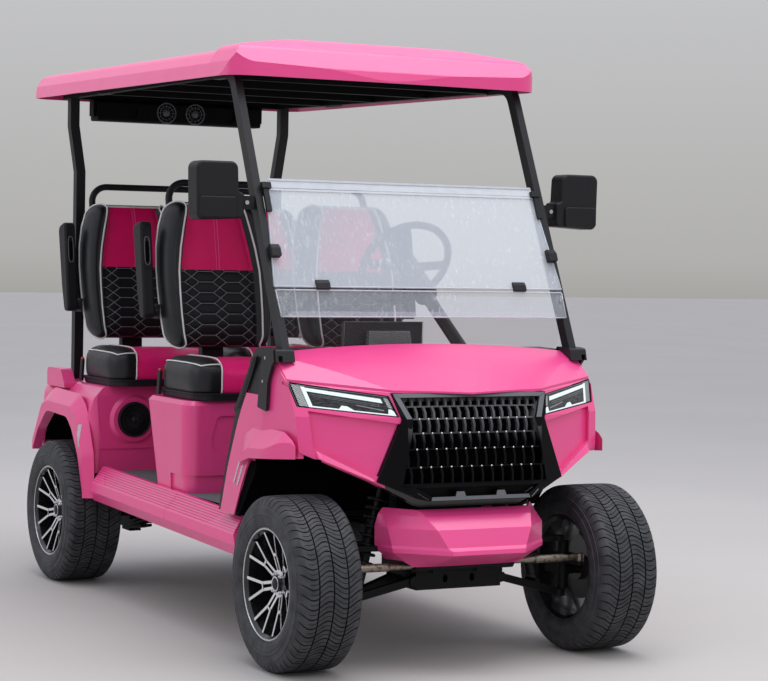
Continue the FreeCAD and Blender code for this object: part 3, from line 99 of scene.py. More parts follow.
class Value:
    """A number inside a material: sums and comparisons of it add maths nodes, and true counts as 1."""

    def __init__(self, look, socket):
        self.look, self.socket = look, socket

    def math(self, operation, *others, clamp=False):
        inputs = dict(enumerate((self, *others)))
        return self.look.add("Math", 0, inputs, operation=operation, use_clamp=clamp)

    def __abs__(self):
        return self.math("ABSOLUTE")

    def zigzag(self, peak):
        """Rises to the peak and falls back to nought, over and over."""
        return self.math("PINGPONG", peak)


OPERATORS = {"__add__": "ADD", "__sub__": "SUBTRACT", "__mul__": "MULTIPLY", "__truediv__": "DIVIDE",
             "__lt__": "LESS_THAN", "__gt__": "GREATER_THAN", "__and__": "MULTIPLY", "__or__": "MAXIMUM"}
for method, operation in OPERATORS.items():
    setattr(Value, method, lambda value, other, operation=operation: value.math(operation, other))


def grey(level):
    return (level, level, level)


def scaled(colour, factor):
    return tuple(channel * factor for channel in colour)


class Nodes:
    """A material or sky under construction: short calls that add and link shader nodes."""

    def __init__(self, owner, shader="Principled BSDF", **settings):
        owner.use_nodes = True
        self.material, self.tree = owner, owner.node_tree
        self.shader = self.tree.nodes[shader]
        self.coords = self.tree.nodes.new("ShaderNodeTexCoord")
        for key, value in settings.items():
            self.feed(self.shader.inputs[key.replace("_", " ")], value)

    def add(self, kind, output, inputs, **values):
        """Adds a node, feeds its inputs and returns one of its outputs."""
        node = self.tree.nodes.new("ShaderNode" + kind)
        for key, value in values.items():
            setattr(node, key, value)
        for key, value in inputs.items():
            self.feed(node.inputs[key], value)
        return Value(self, node.outputs[output])

    def feed(self, socket, value):
        """Links a value to a socket, or sets the socket to a number, a vector or a colour."""
        if isinstance(value, Value):
            self.tree.links.new(value.socket, socket)
        else:
            socket.default_value = (*value, 1) if isinstance(value, tuple) else value

    def place(self, output="Object"):
        return Value(self, self.coords.outputs[output])

    def xyz(self, output="Object"):
        node = self.add("SeparateXYZ", 0, {0: self.place(output)}).socket.node
        return [Value(self, socket) for socket in node.outputs]

    def noise(self, scale, detail, stretch=None):
        place = self.place()
        if stretch:
            place = self.add("Mapping", 0, {"Vector": place, "Scale": Vector(stretch)})
        return self.add("TexNoise", "Fac", {"Vector": place, "Scale": scale, "Detail": detail})

    def cells(self, scale):
        return self.add("TexVoronoi", "Distance", {"Vector": self.place(), "Scale": scale})

    def ramp(self, source, *stops):
        """Colours along a value: each stop is a place and a colour."""
        colours = self.add("ValToRGB", 0, {0: source})
        elements = colours.socket.node.color_ramp.elements
        while len(elements) < len(stops):
            elements.new(0.5)
        for element, (place, colour) in zip(elements, stops):
            element.position = place
            element.color = (*colour, 1)
        return colours

    def bump(self, height, strength, distance, onto=None):
        inputs = {"Height": height, "Strength": strength, "Distance": distance}
        if onto is not None:
            inputs["Normal"] = onto
        normal = self.add("Bump", 0, inputs)
        self.feed(self.shader.inputs["Normal"], normal)
        return normal

    def colour(self, share, first, second):
        """The surface's colour: from the first to the second as the share rises from 0 to 1."""
        mixed = self.add("Mix", 2, {0: share, 6: first, 7: second}, data_type="RGBA")
        self.feed(self.shader.inputs["Base Color"], mixed)

    def cover(self, share, colour):
        """Lays a colour over the one that is there, as far as the share says."""
        self.colour(share, Value(self, self.shader.inputs["Base Color"].links[0].from_socket), colour)

    def rough(self, source, low, high):
        spread = self.add("MapRange", 0, {"Value": source, "To Min": low, "To Max": high})
        self.feed(self.shader.inputs["Roughness"], spread)


def new_look(name, **settings):
    return Nodes(bpy.data.materials.new(name), **settings)


def paint(name):
    """Moulded, painted body panels: slight orange peel, a dusting and soft colour variation."""
    m = new_look(name, Coat_Weight=0.6, Coat_Roughness=0.24, Specular_IOR_Level=0.4)
    m.colour(m.noise(1.7, 2), PINK, PINK_DARK)
    m.rough(m.noise(9, 4), 0.27, 0.42)
    m.bump(m.noise(420, 2), 0.05, 0.0004, m.bump(m.noise(14, 2), 0.06, 0.002))
    return m


def nose_coat(name):
    """Body paint of the nose: black on the lip that runs under its chin and in the grille's top opening."""
    m = paint(name)
    x, y, z = m.xyz()
    side = abs(x)
    rise = ((side - 0.2) | 0.0) * 0.4
    chin = (z - rise < 0.577) & (side < 0.325)
    opening = (z > 0.86) & (z < 0.911) & (side < 0.262)
    m.cover((chin | opening) & (y < -1.2), (0.006, 0.006, 0.007))
    return m.material


def step_coat(name):
    """Body paint of the steps, with painted shade in the grooves of the tread: darker pink lines."""
    m = paint(name)
    x, y, z = m.xyz()
    share = (z - 0.400 - (y + 0.8) * 0.02699) / 0.064
    groove = (share * 7.8).zigzag(0.5) < 0.12
    tread = (share > 0.06) & (share < 0.94) & (abs(x) > 0.562)
    # Painted shade: the tread's grooves are painted a much darker copy of the body pink
    m.cover(groove & tread, scaled(PINK_DARK, 0.42))
    return m.material


def moulded(name, colour, roughness, grain, depth, spread=0.25, gloss=0.5):
    """Textured black plastic or powder coat, with a fine grain and slight wear in tone."""
    m = new_look(name, Specular_IOR_Level=gloss)
    lighter = tuple(min(1, channel * (1 + spread) + 0.001) for channel in colour)
    m.colour(m.noise(11, 5), colour, lighter)
    m.rough(m.noise(37, 3), roughness - 0.07, roughness + 0.07)
    m.bump(m.cells(grain), depth, 0.0003)
    return m.material


def metal(name, colour, roughness, brushed=(300, 20, 300), rust=None):
    """Bare metal, brushed along one axis, with patches of rust where a rust colour is given."""
    m = new_look(name, Metallic=1.0)
    m.colour(m.noise(30, 4), colour, scaled(colour, 0.75))
    if rust:
        m.cover(m.ramp(m.noise(70, 6), (0.52, grey(0)), (0.62, grey(1))), rust)
    m.rough(m.noise(24, 4, brushed), roughness - 0.08, roughness + 0.12)
    m.bump(m.noise(60, 3, brushed), 0.08, 0.0003)
    return m.material


def vinyl(name, colour, roughness, grain=520, depth=0.22, gloss=0.2):
    """Seat cover: pebbled grain with soft creases."""
    m = new_look(name, Specular_IOR_Level=gloss, Sheen_Weight=0.03)
    m.colour(m.noise(16, 4), colour, scaled(colour, 0.72))
    m.rough(m.noise(60, 3), roughness - 0.06, roughness + 0.1)
    m.bump(m.cells(grain), depth, 0.0004, m.bump(m.noise(26, 3), 0.12, 0.003))
    return m.material


QUILT_COLUMN = 0.113
QUILT_HALF_WIDTH, QUILT_HALF_HEIGHT = 0.028, 0.0205


def quilted_vinyl(name):
    """Black cover sewn with a pattern of long hexagons and diamonds in pale grey thread."""
    m = new_look(name, Specular_IOR_Level=0.16)
    x, _, z = m.xyz()
    place = abs(x) - SEAT_MIDDLE * MM
    from_column = (place + 10 * QUILT_COLUMN).zigzag(QUILT_COLUMN / 2)
    height = (z - 1.0).zigzag(QUILT_HALF_HEIGHT)
    slant = abs(from_column - height * (QUILT_HALF_WIDTH / QUILT_HALF_HEIGHT)) * 0.59
    level = abs(height - QUILT_HALF_HEIGHT) + (from_column < QUILT_HALF_WIDTH - 0.001)
    distance = slant.math("MINIMUM", level)
    stitch = (z + place).zigzag(0.0022) > 0.0004
    m.colour(m.noise(18, 4), (0.005, 0.005, 0.006), (0.009, 0.009, 0.010))
    m.cover((distance < 0.0011) & stitch, (0.27, 0.27, 0.29))
    pillow = (distance * 110.0).math("MINIMUM", 1.0).math("POWER", 0.5)
    m.bump(m.cells(560), 0.15, 0.0003, m.bump(pillow, 0.8, 0.004))
    m.rough(m.noise(60, 3), 0.36, 0.52)
    return m.material


def stitched_pink(name):
    """Magenta centre panel with a double row of stitches down its middle."""
    m = new_look(name, Sheen_Weight=0.04, Specular_IOR_Level=0.2)
    x, y, z = m.xyz()
    place = abs(abs(x) - SEAT_MIDDLE * MM)
    rows = abs(place - 0.006) < 0.0011
    gaps = (z + y).zigzag(0.004) > 0.0011
    m.colour(m.noise(14, 4), MAGENTA, scaled(MAGENTA, 0.8))
    m.cover(rows & gaps, (0.9, 0.12, 0.33))
    seam = (place * 160.0).math("MINIMUM", 1.0)
    m.bump(m.cells(520), 0.2, 0.0004, m.bump(seam, 0.7, 0.003))
    m.rough(m.noise(50, 3), 0.38, 0.55)
    return m.material


def rubber(name, clean, dusty):
    """Tyre rubber: a veil of road dust over a fine moulding grain."""
    m = new_look(name, Specular_IOR_Level=0.45)
    m.feed(m.shader.inputs["Base Color"], m.ramp(m.noise(22, 6), (0.35, clean), (0.75, dusty)))
    m.rough(m.noise(80, 4), 0.5, 0.75)
    m.bump(m.noise(700, 3), 0.3, 0.0005)
    return m.material


def alloy(name):
    """Machined silver where a face looks out along the axle, gloss black elsewhere."""
    m = new_look(name, Coat_Weight=0.3)
    x = m.xyz()[0]
    outward = m.xyz("Normal")[0] * x.math("SIGN")
    shown = m.ramp(outward, (0.86, grey(0)), (0.9, grey(1))) & (abs(x) > 0.59)
    m.colour(shown, (0.012, 0.012, 0.013), (0.82, 0.82, 0.84))
    m.feed(m.shader.inputs["Metallic"], shown)
    m.rough(m.noise(200, 3, (1, 30, 30)), 0.16, 0.3)
    m.bump(m.noise(300, 2), 0.05, 0.0002)
    return m.material


def screen(name):
    """Clear sheet with wiping scratches: hazy when folded up, clear in the pane that stands on the cowl."""
    m = new_look(name, IOR=1.49, Specular_IOR_Level=0.3)
    z = m.xyz()[2]
    fine = m.ramp(m.noise(90, 10, (1.0, 1, 0.16)), (0.58, grey(0)), (0.66, grey(1)))
    swirl = m.ramp(m.noise(46, 10, (4.5, 1, 0.5)), (0.6, grey(0)), (0.68, grey(1)))
    scratches = (fine + swirl) * m.ramp(m.noise(5, 4), (0.38, grey(0.15)), (0.62, grey(1)))
    above_pane, folding = z > 1.1665, z > 1.262
    haze = above_pane * 0.12 + folding * 0.20 + scratches * 0.16 * above_pane
    m.feed(m.shader.inputs["Alpha"], haze.math("ADD", 0.035, clamp=True))
    m.colour(above_pane, (0.25, 0.25, 0.24), (0.78, 0.84, 0.90))
    m.rough(m.noise(40, 5), 0.08, 0.22)
    m.material.surface_render_method = "BLENDED"
    return m.material


def clear_edge(name, alpha):
    """Cut edge of a clear sheet, paler than its face."""
    m = new_look(name, Alpha=alpha, IOR=1.49)
    m.colour(m.noise(30, 4), (0.8, 0.84, 0.88), (0.62, 0.66, 0.7))
    m.rough(m.noise(60, 3), 0.1, 0.3)
    return m.material


def glow(name, colour, strength):
    """Light guide of a lamp, faintly lit."""
    m = new_look(name, Emission_Color=colour, Emission_Strength=strength, Coat_Weight=0.5)
    m.colour(m.noise(80, 2), colour, scaled(colour, 0.9))
    m.rough(m.noise(50, 2), 0.1, 0.2)
    return m.material


def lens_dark(name, sides=None):
    """Dark inside of a lamp behind its clear front: faint ribs and blocks; the case's sides may be painted."""
    m = new_look(name, Coat_Weight=0.35, Coat_Roughness=0.04, Specular_IOR_Level=0.3)
    ribs = m.ramp(m.noise(46, 2, (1, 1, 6)), (0.46, grey(0.006)), (0.66, (0.05, 0.053, 0.055)))
    m.feed(m.shader.inputs["Base Color"], ribs)
    if sides:
        m.cover(abs(m.xyz("Normal")[0]) > 0.7, sides)
    m.rough(m.noise(30, 2), 0.1, 0.2)
    m.bump(m.noise(90, 2, (1, 1, 5)), 0.3, 0.001)
    return m.material


def ribbed_lens(name, colour, pitch):
    """Clear plastic with slanting ribs, with painted shade that makes it darker between them."""
    m = new_look(name, Coat_Weight=0.8)
    x, _, z = m.xyz()
    share = (z + x * 0.6).zigzag(pitch) / pitch
    # Painted shade and highlight: each rib runs from a third of the colour in its hollow to the full colour on its
    # crest
    m.colour(share, scaled(colour, 0.3), colour)
    m.bump(share, 0.8, 0.002)
    m.rough(m.noise(40, 2), 0.08, 0.2)
    return m.material


def carpet(name):
    """Grey floor mat; the panel's underside, rear edge and side edges are black."""
    m = new_look(name, Specular_IOR_Level=0.04)
    nx, ny, nz = m.xyz("Normal")
    m.colour(m.noise(160, 5), (0.105, 0.108, 0.112), (0.17, 0.172, 0.178))
    m.cover((ny < -0.3) | (nz < -0.3) | (abs(nx) > 0.7), (0.0015, 0.0015, 0.0017))
    m.rough(m.noise(60, 2), 0.75, 0.92)
    m.bump(m.cells(260), 0.5, 0.001)
    return m.material


def grille_black(name):
    """Gloss black lattice with painted light: its upper links are painted lighter than the lower ones, where light
    falls on them.
    """
    m = new_look(name, Specular_IOR_Level=0.07)
    x, y, z = m.xyz()
    # Painted light: the lattice is painted lighter towards the top, where light falls on the upper links
    high = m.ramp((z - 0.76) * 12.0, (0.0, grey(0)), (0.5, grey(0.55)), (1.0, grey(1)))
    links = (abs(x) < 0.258) & (y + (z - 0.84) * -0.4 > -1.352)
    m.colour(high & links, (0.004, 0.004, 0.0045), (0.10, 0.10, 0.105))
    m.rough(m.noise(70, 3), 0.28, 0.42)
    m.bump(m.noise(500, 2), 0.05, 0.0003)
    return m.material


body_paint = paint("body_paint").material
nose_paint = nose_coat("nose_paint")
step_paint = step_coat("step_paint")
black_steel = moulded("black_steel", (0.010, 0.0105, 0.012), 0.42, 1400, 0.1, gloss=0.3)
roof_black = moulded("roof_black", (0.004, 0.004, 0.0045), 0.6, 900, 0.15, 0.5, 0.1)
chassis_black = moulded("chassis_black", (0.004, 0.004, 0.0045), 0.55, 700, 0.15, 0.6, 0.15)
black_plastic = moulded("black_plastic", (0.010, 0.0105, 0.012), 0.48, 1100, 0.3, gloss=0.24)
deep_black = moulded("deep_black", (0.0015, 0.0015, 0.0017), 0.8, 700, 0.3, 0.25, 0.02)
soft_black = vinyl("soft_black", (0.009, 0.009, 0.0105), 0.46)
seat_black = vinyl("seat_black", (0.0045, 0.0055, 0.0075), 0.38, 480, 0.12, 0.42)
seat_pink = stitched_pink("seat_pink")
cushion_pink = vinyl("cushion_pink", (1.0, 0.016, 0.205), 0.42)
seat_quilt = quilted_vinyl("seat_quilt")
piping_white = vinyl("piping_white", (0.86, 0.85, 0.83), 0.45, 700, 0.1, 0.4)
tyre_rubber = rubber("tyre_rubber", (0.021, 0.022, 0.0245), (0.056, 0.058, 0.065))
# Painted shade: rubber in the slots and grooves is painted far darker than the tread's rubber
tyre_groove_shade = rubber("tyre_groove_shade", grey(0.003), grey(0.010))
alloy_wheel = alloy("alloy_wheel")
bright_steel = metal("bright_steel", (0.72, 0.72, 0.74), 0.22)
shock_black = moulded("shock_black", (0.006, 0.006, 0.0065), 0.4, 600, 0.15, 0.6, 0.25)
rod_steel = metal("rod_steel", (0.30, 0.27, 0.22), 0.45, rust=(0.12, 0.065, 0.035))
screen_sheet = screen("screen_sheet")
screen_edge = clear_edge("screen_edge", 0.72)
lamp_white = glow("lamp_white", (0.74, 0.85, 0.83), 0.3)
lamp_dark = lens_dark("lamp_dark")
lamp_case = lens_dark("lamp_case", PINK)
lamp_rib = ribbed_lens("lamp_rib", (0.42, 0.46, 0.45), 0.0035)
lamp_grey = moulded("lamp_grey", (0.2, 0.21, 0.22), 0.25, 500, 0.1)
tail_red = ribbed_lens("tail_red", (0.85, 0.006, 0.01), 0.006)
reflector = ribbed_lens("reflector", (0.92, 0.86, 0.88), 0.0025)
floor_mat = carpet("floor_mat")
grille_painted_light = grille_black("grille_painted_light")
trim_grey = moulded("trim_grey", (0.105, 0.11, 0.118), 0.3, 900, 0.1)
mirror_glass = metal("mirror_glass", (0.85, 0.87, 0.9), 0.1, (1, 1, 1))
buckle_red = moulded("buckle_red", (0.55, 0.02, 0.02), 0.35, 600, 0.1)
unit_grey = ribbed_lens("unit_grey", (0.16, 0.165, 0.17), 0.0045)

NODE_MATERIALS = {
    body_paint: "hood lower_bumper fender_flares seat_pod rear_body roof",
    nose_paint: "front_cowl",
    step_paint: "sills",
    black_steel: "roof_pillars rear_bumper",
    roof_black: "roof_frame sound_bar",
    chassis_black: "chassis_frame front_suspension steering_rack rear_axle rear_springs knuckle_left knuckle_right",
    black_plastic: "mirrors dashboard steering_column pedals windscreen_fittings seat_frames",
    deep_black: "wheel_liners roof_lining battery_pack speakers",
    soft_black: "armrest_front_left armrest_front_right armrest_rear_left armrest_rear_right steering_wheel",
    shock_black: "front_shocks",
    rod_steel: "tie_rods",
    grille_painted_light: "grille",
    lamp_case: "headlamps",
    tail_red: "tail_lamps",
    floor_mat: "floor",
    screen_sheet: "windscreen",
    alloy_wheel: "rim_front_left rim_front_right rim_rear_left rim_rear_right",
}
for material, names in NODE_MATERIALS.items():
    for name in names.split():
        materials = nodes[name].data.materials
        materials.clear()
        materials.append(material)


# Points and tables

def steps(start, end, count):
    """Evenly spaced numbers from the start to the end, both included."""
    return [start + (end - start) * i / count for i in range(count + 1)]


def between(first, second, share):
    """The row of numbers that lies at a share of the way from the first row to the second."""
    return [a + (b - a) * share for a, b in zip(first, second)]


def clip(value, low=0.0, high=1.0):
    return min(high, max(low, value))


def smooth_step(value):
    value = clip(value)
    return value * value * (3 - 2 * value)


def blend_rows(rows, z):
    """Reads a table of rows (z, a, b, ...) at a height."""
    if z <= rows[0][0]:
        return rows[0][1:]
    for low, high in zip(rows, rows[1:]):
        if z <= high[0]:
            return between(low[1:], high[1:], (z - low[0]) / (high[0] - low[0]))
    return rows[-1][1:]


def circle(centre, radius, count, first=X, second=Z):
    """Points round a circle that starts along the first direction and turns to the second."""
    turns = [TURN * i / count for i in range(count)]
    return [centre + (first * math.cos(turn) + second * math.sin(turn)) * radius for turn in turns]


def bands(rings, sides, start=0, closed=False):
    """The quads between neighbouring rings of points; closed joins the last ring to the first."""
    faces = []
    for i in range(rings if closed else rings - 1):
        a, b = start + i * sides, start + (i + 1) % rings * sides
        faces += [(a + j, a + (j + 1) % sides, b + (j + 1) % sides, b + j) for j in range(sides)]
    return faces


# Mesh helpers, all in millimetres until the mesh is made

def place_mesh(name, vertices, faces, materials, body="cart", smooth=True, face_slots=None):
    mesh = bpy.data.meshes.new(name)
    mesh.from_pydata([Vector(v) * MM for v in vertices], [], faces)
    for material in materials:
        mesh.materials.append(material)
    if face_slots:
        mesh.polygons.foreach_set("material_index", face_slots)
    mesh.polygons.foreach_set("use_smooth", [smooth] * len(mesh.polygons))
    mesh.validate()
    mesh.update()
    obj = bpy.data.objects.new(name, mesh)
    scene.collection.objects.link(obj)
    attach(obj, body)
    return obj


class Parts:
    """Collects simple shapes into one mesh."""

    def __init__(self):
        self.vertices = []
        self.faces = []
        self.slots = []

    def add(self, vertices, faces, slot=0):
        start = len(self.vertices)
        self.vertices += [Vector(v) for v in vertices]
        self.faces += [tuple(start + i for i in face) for face in faces]
        self.slots += [slot] * len(faces)

    def slab(self, outline, forward, slot=0):
        """A plate: an outline and its copy moved by a vector."""
        count = len(outline)
        points = [Vector(p) for p in outline] + [Vector(p) + forward for p in outline]
        faces = [tuple(range(count)), tuple(range(2 * count - 1, count - 1, -1))]
        faces += [(i, i + count, (i + 1) % count + count, (i + 1) % count) for i in range(count)]
        self.add(points, faces, slot)

    def strip(self, upper, lower, forward, slot=0):
        """A plate between two rows of points, and its copy moved by a vector."""
        count = len(upper)
        points = upper + lower + [p + forward for p in upper] + [p + forward for p in lower]
        faces = [(0, count, 3 * count, 2 * count), (count - 1, 3 * count - 1, 4 * count - 1, 2 * count - 1)]
        for a in range(count - 1):
            b, c, d = a + count, a + 2 * count, a + 3 * count
            faces += [(a, a + 1, b + 1, b), (a + 1, a, c, c + 1), (c + 1, c, d, d + 1), (b, b + 1, d + 1, d)]
        self.add(points, faces, slot)

    def skin(self, rings, slot=0, closed=False):
        """A skin over rings of points, with a cap at each end unless it is closed."""
        count, sides = len(rings), len(rings[0])
        faces = bands(count, sides, closed=closed)
        if not closed:
            faces += [tuple(range(sides - 1, -1, -1)), tuple(range((count - 1) * sides, count * sides))]
        self.add([point for ring in rings for point in ring], faces, slot)

    def rod(self, start, end, radius, sides, slot=0, taper=1.0):
        start, end = Vector(start), Vector(end)
        axis = (end - start).normalized()
        side = axis.orthogonal().normalized()
        other = axis.cross(side)
        ends = ((start, radius), (end, radius * taper))
        self.skin([circle(centre, size, sides, side, other) for centre, size in ends], slot)

    def ball(self, centre, radius, squash, rings, sides):
        points = [-Z]
        for i in range(1, rings):
            polar = math.pi * i / rings
            points += circle(Z * -math.cos(polar), math.sin(polar), sides, X, Y)
        points.append(Z)
        last = len(points) - 1
        faces = [(0, 1 + (j + 1) % sides, 1 + j) for j in range(sides)] + bands(rings - 1, sides, 1)
        faces += [(last - sides + j, last - sides + (j + 1) % sides, last) for j in range(sides)]
        size = Matrix.Diagonal(Vector(squash) * radius)
        self.add([Vector(centre) + size @ point for point in points], faces)

    def tube(self, points, radius, sides, slot=0, closed=False):
        """A round tube through points, with a frame carried along it."""
        points = [Vector(p) for p in points]
        count = len(points)
        rings = []
        side = None
        for i, point in enumerate(points):
            before = points[i - 1] if i or closed else point
            after = points[(i + 1) % count] if i < count - 1 or closed else point
            axis = (after - before).normalized()
            if side is None:
                side = axis.orthogonal().normalized()
            side = (side - axis * side.dot(axis)).normalized()
            rings.append(circle(point, radius, sides, side, axis.cross(side)))
        self.skin(rings, slot, closed)

    def place(self, name, materials, body="cart", smooth=True):
        return place_mesh(name, self.vertices, self.faces, materials, body, smooth, self.slots)

    def place_rounded(self, name, materials, width, segments=2):
        """The piece with flat faces and its sharp edges rounded off."""
        bevel = self.place(name, materials, smooth=False).modifiers.new("round", "BEVEL")
        bevel.width = width * MM
        bevel.segments = segments
        bevel.limit_method = "ANGLE"
        bevel.angle_limit = math.radians(30)


# Where rays start, well outside the cart
FAR_AHEAD, FAR_ASIDE = -2500, 1500
trees = {}


def surface_tree(name):
    if name not in trees:
        mesh = nodes[name].data
        mesh.calc_loop_triangles()
        corners = [v.co / MM for v in mesh.vertices]
        trees[name] = BVHTree.FromPolygons(corners, [tuple(t.vertices) for t in mesh.loop_triangles])
    return trees[name]


def cast(names, start, direction):
    """The first point that a ray meets on any of the named CAD nodes, or nothing."""
    best, nearest = None, math.inf
    for name in names:
        hit, _, _, distance = surface_tree(name).ray_cast(Vector(start), direction)
        if hit is not None and distance < nearest:
            best, nearest = hit, distance
    return best


def front_point(names, x, z, proud=0.0):
    """A point on the surface seen from the front; one just past an edge is drawn in to it."""
    for step in range(12):
        hit = cast(names, (x * (1 - 0.006 * step), FAR_AHEAD, z), Y)
        if hit is not None:
            return Vector((x, hit.y - proud, z))
    raise ValueError("nothing of " + str(names) + " at " + str((x, z)))


def side_point(names, side, y, z, proud=0.0):
    return cast(names, (side * FAR_ASIDE, y, z), X * -side) + X * side * proud


def front_plate(parts, names, outline, proud, thickness):
    """A thin plate that follows the surface seen from the front: its outline is in x and z."""
    parts.slab([front_point(names, x, z, proud) for x, z in outline], Y * thickness)


# Tyres

TREAD_PITCHES = 56
SLOT_DEPTH = 6.5
SIPE_DEPTH = 3.0
RING_GROOVES = (-52.0, 0.0, 52.0)
TREAD_HALF, TYRE_HALF = 92, 118
CROWN_RADIUS, CROWN_DROP = 292, 1.6
# The slots run down the side wall to this radius, the sipes across the tread to this place
SLOT_END, SIPE_END = 257, 84
GROOVE_HALF = 1.8
# Places round one pitch: a wide slot about 0 and a thin sipe about one half
PITCH_PLACES = ((0.0, SLOT_DEPTH), (0.056, SLOT_DEPTH), (0.072, 0), (0.25, 0), (0.462, 0), (0.474, SIPE_DEPTH),
                (0.526, SIPE_DEPTH), (0.538, 0), (0.75, 0), (0.928, 0), (0.944, SLOT_DEPTH))
# Side of the tyre, from the bead out to the tread: distance from the middle plane and radius
TYRE_SIDE = ((-106, 187.6), (-112, 191), (-118, 203), (-120.8, 218), (-120.0, 228), (-121.4, 230), (-121.1, 234),
             (-119.0, 236), (-117.8, 250), (-117.6, 256), (-115.0, 258), (-114.5, 262), (-111, 272), (-106.5, 280),
             (-101, 286), (-96, 289.6))
# Lines across one half of the tread
TREAD_LINES = (-92, -84.5, -77, -69, -61, -54.5, -53.7, -50.3, -49.5, -43, -35, -27, -19, -11, -2.5, -1.7)


def slot_shift(across):
    """How far, in pitches, the cross slots lie round the tyre at a place across it."""
    return 0.42 * math.sin(TURN * (across + 15) / 115)


def tyre_depth(across, cut):
    """Depth of the tread: the slot's or sipe's own depth, the ring grooves and the shoulder's ribs."""
    side = abs(across)
    if side > TREAD_HALF:
        return cut * max(0.0, TYRE_HALF - side) / (TYRE_HALF - TREAD_HALF) if cut == SLOT_DEPTH else 0.0
    if any(abs(across - groove) < GROOVE_HALF for groove in RING_GROOVES):
        return SLOT_DEPTH
    if cut == SIPE_DEPTH and side > SIPE_END:
        return 0.0
    return cut


def make_tyre(name, middle, sign, body):
    """The whole tyre, on a grid that is sheared round the axle so that its lines follow the slots."""
    across = [*TREAD_LINES, *(-u for u in reversed(TREAD_LINES))]
    profile = [*TYRE_SIDE, *((u, CROWN_RADIUS - CROWN_DROP * (abs(u) / TREAD_HALF) ** 3) for u in across)]
    profile += [(-u, radius) for u, radius in reversed(TYRE_SIDE)]
    vertices, depths = [], []
    for pitch in range(TREAD_PITCHES):
        for place, cut in PITCH_PLACES:
            for u, radius in profile:
                turn = TURN * (pitch + place + slot_shift(u * sign)) / TREAD_PITCHES
                depth = tyre_depth(u, cut) if radius > SLOT_END else 0.0
                lean = clip((abs(u) - TREAD_HALF) / (TYRE_HALF - TREAD_HALF))
                r = radius - depth * (1 - lean)
                x = u - math.copysign(depth * lean, u)
                vertices.append(middle + Vector((x, r * math.sin(turn), r * math.cos(turn))))
                depths.append(depth)
    count = len(profile)
    total = TREAD_PITCHES * len(PITCH_PLACES)
    faces = []
    for i in range(total):
        a, b = i * count, (i + 1) % total * count
        faces += [(a + j, b + j, b + j + 1, a + j + 1) for j in range(count - 1)]
        faces.append((a + count - 1, b + count - 1, b, a))
    # Faces deeper than 2.4 mm take the groove rubber: painted shade in the slots and grooves
    slots = [1 if max(depths[k] for k in face) > 2.4 else 0 for face in faces]
    return place_mesh(name, vertices, faces, [tyre_rubber, tyre_groove_shade], body, False, slots)


WHEEL_NUTS = 4
# Rings of the wheel: distance outward, radius, thickness and number of points
WHEEL_RINGS = ((108.6, 184.5, 1.8, 72), (75.5, 24.5, 1.5, 32))
NUT_CIRCLE = 38
VALVE_TURN = 0.62


def make_wheel_trim(label, middle, sign):
    """The bright lip, the centre cap with its ring, the wheel nuts and the valve."""
    parts = Parts()

    def polar(out, radius=0.0, turn=0.0):
        return middle + Vector((sign * out, radius * math.sin(turn), radius * math.cos(turn)))

    for out, radius, thick, count in WHEEL_RINGS:
        parts.tube(circle(polar(out), radius, count, Z, Y), thick, 6, closed=True)
    parts.rod(polar(75.8), polar(78.0), 21, 24, 1, 0.85)
    for i in range(WHEEL_NUTS):
        turn = TURN * (i + 0.5) / WHEEL_NUTS
        tip = polar(72, NUT_CIRCLE, turn)
        parts.rod(polar(61.5, NUT_CIRCLE, turn), tip, 7.5, 6, 0, 0.92)
        parts.ball(tip, 5.5, (1, 1, 1), 4, 8)
    parts.rod(polar(88, 160, VALVE_TURN), polar(112, 166, VALVE_TURN), 4.0, 10, 2, 0.7)
    parts.place("wheel_trim_" + label, [bright_steel, black_plastic, deep_black], "wheel_" + label)


def make_wheels():
    for row, centre in AXLES:
        for side, sign in SIDES:
            label = row + "_" + side
            middle = Vector((centre[0] * sign, *centre[1:]))
            tyre = make_tyre("tread_" + label, middle, sign, "wheel_" + label)
            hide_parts("tyre_" + label)
            make_wheel_trim(label, middle, sign)


# Seats: padded pieces built on a grid of a box, then shaped

covers = []


def box_surface(xs, ys, zs):
    """The grid points of a box's surface by index, and its quads."""
    index = {}
    faces = []
    nx, ny, nz = len(xs) - 1, len(ys) - 1, len(zs) - 1

    def at(i, j, k):
        return index.setdefault((i, j, k), len(index))

    for i in range(nx):
        for j in range(ny):
            faces.append((at(i, j, 0), at(i, j + 1, 0), at(i + 1, j + 1, 0), at(i + 1, j, 0)))
            faces.append((at(i, j, nz), at(i + 1, j, nz), at(i + 1, j + 1, nz), at(i, j + 1, nz)))
    for i in range(nx):
        for k in range(nz):
            faces.append((at(i, 0, k), at(i + 1, 0, k), at(i + 1, 0, k + 1), at(i, 0, k + 1)))
            faces.append((at(i, ny, k), at(i, ny, k + 1), at(i + 1, ny, k + 1), at(i + 1, ny, k)))
    for j in range(ny):
        for k in range(nz):
            faces.append((at(0, j, k), at(0, j, k + 1), at(0, j + 1, k + 1), at(0, j + 1, k)))
            faces.append((at(nx, j, k), at(nx, j + 1, k), at(nx, j + 1, k + 1), at(nx, j, k + 1)))
    return list(index), faces


def rounded(point, low, high, radius):
    """Moves a point of a box's surface onto the box with rounded edges of given radii per axis."""
    inner = Vector([clip(p, a + r, b - r) for p, a, b, r in zip(point, low, high, radius)])
    away = Vector([(p - i) / r for p, i, r in zip(point, inner, radius)])
    if away.length < 1e-6:
        return point
    away.normalize()
    return Vector([i + a * r for i, a, r in zip(inner, away, radius)])


def spaced(low, high, count, extra=()):
    """Even steps that also stop at the extra places, in order."""
    values = steps(low, high, count)
    step = (high - low) / count
    for place in extra:
        values = [v for v in values if abs(v - place) > step * 0.45 or v in (low, high)] + [place]
    return sorted(values)


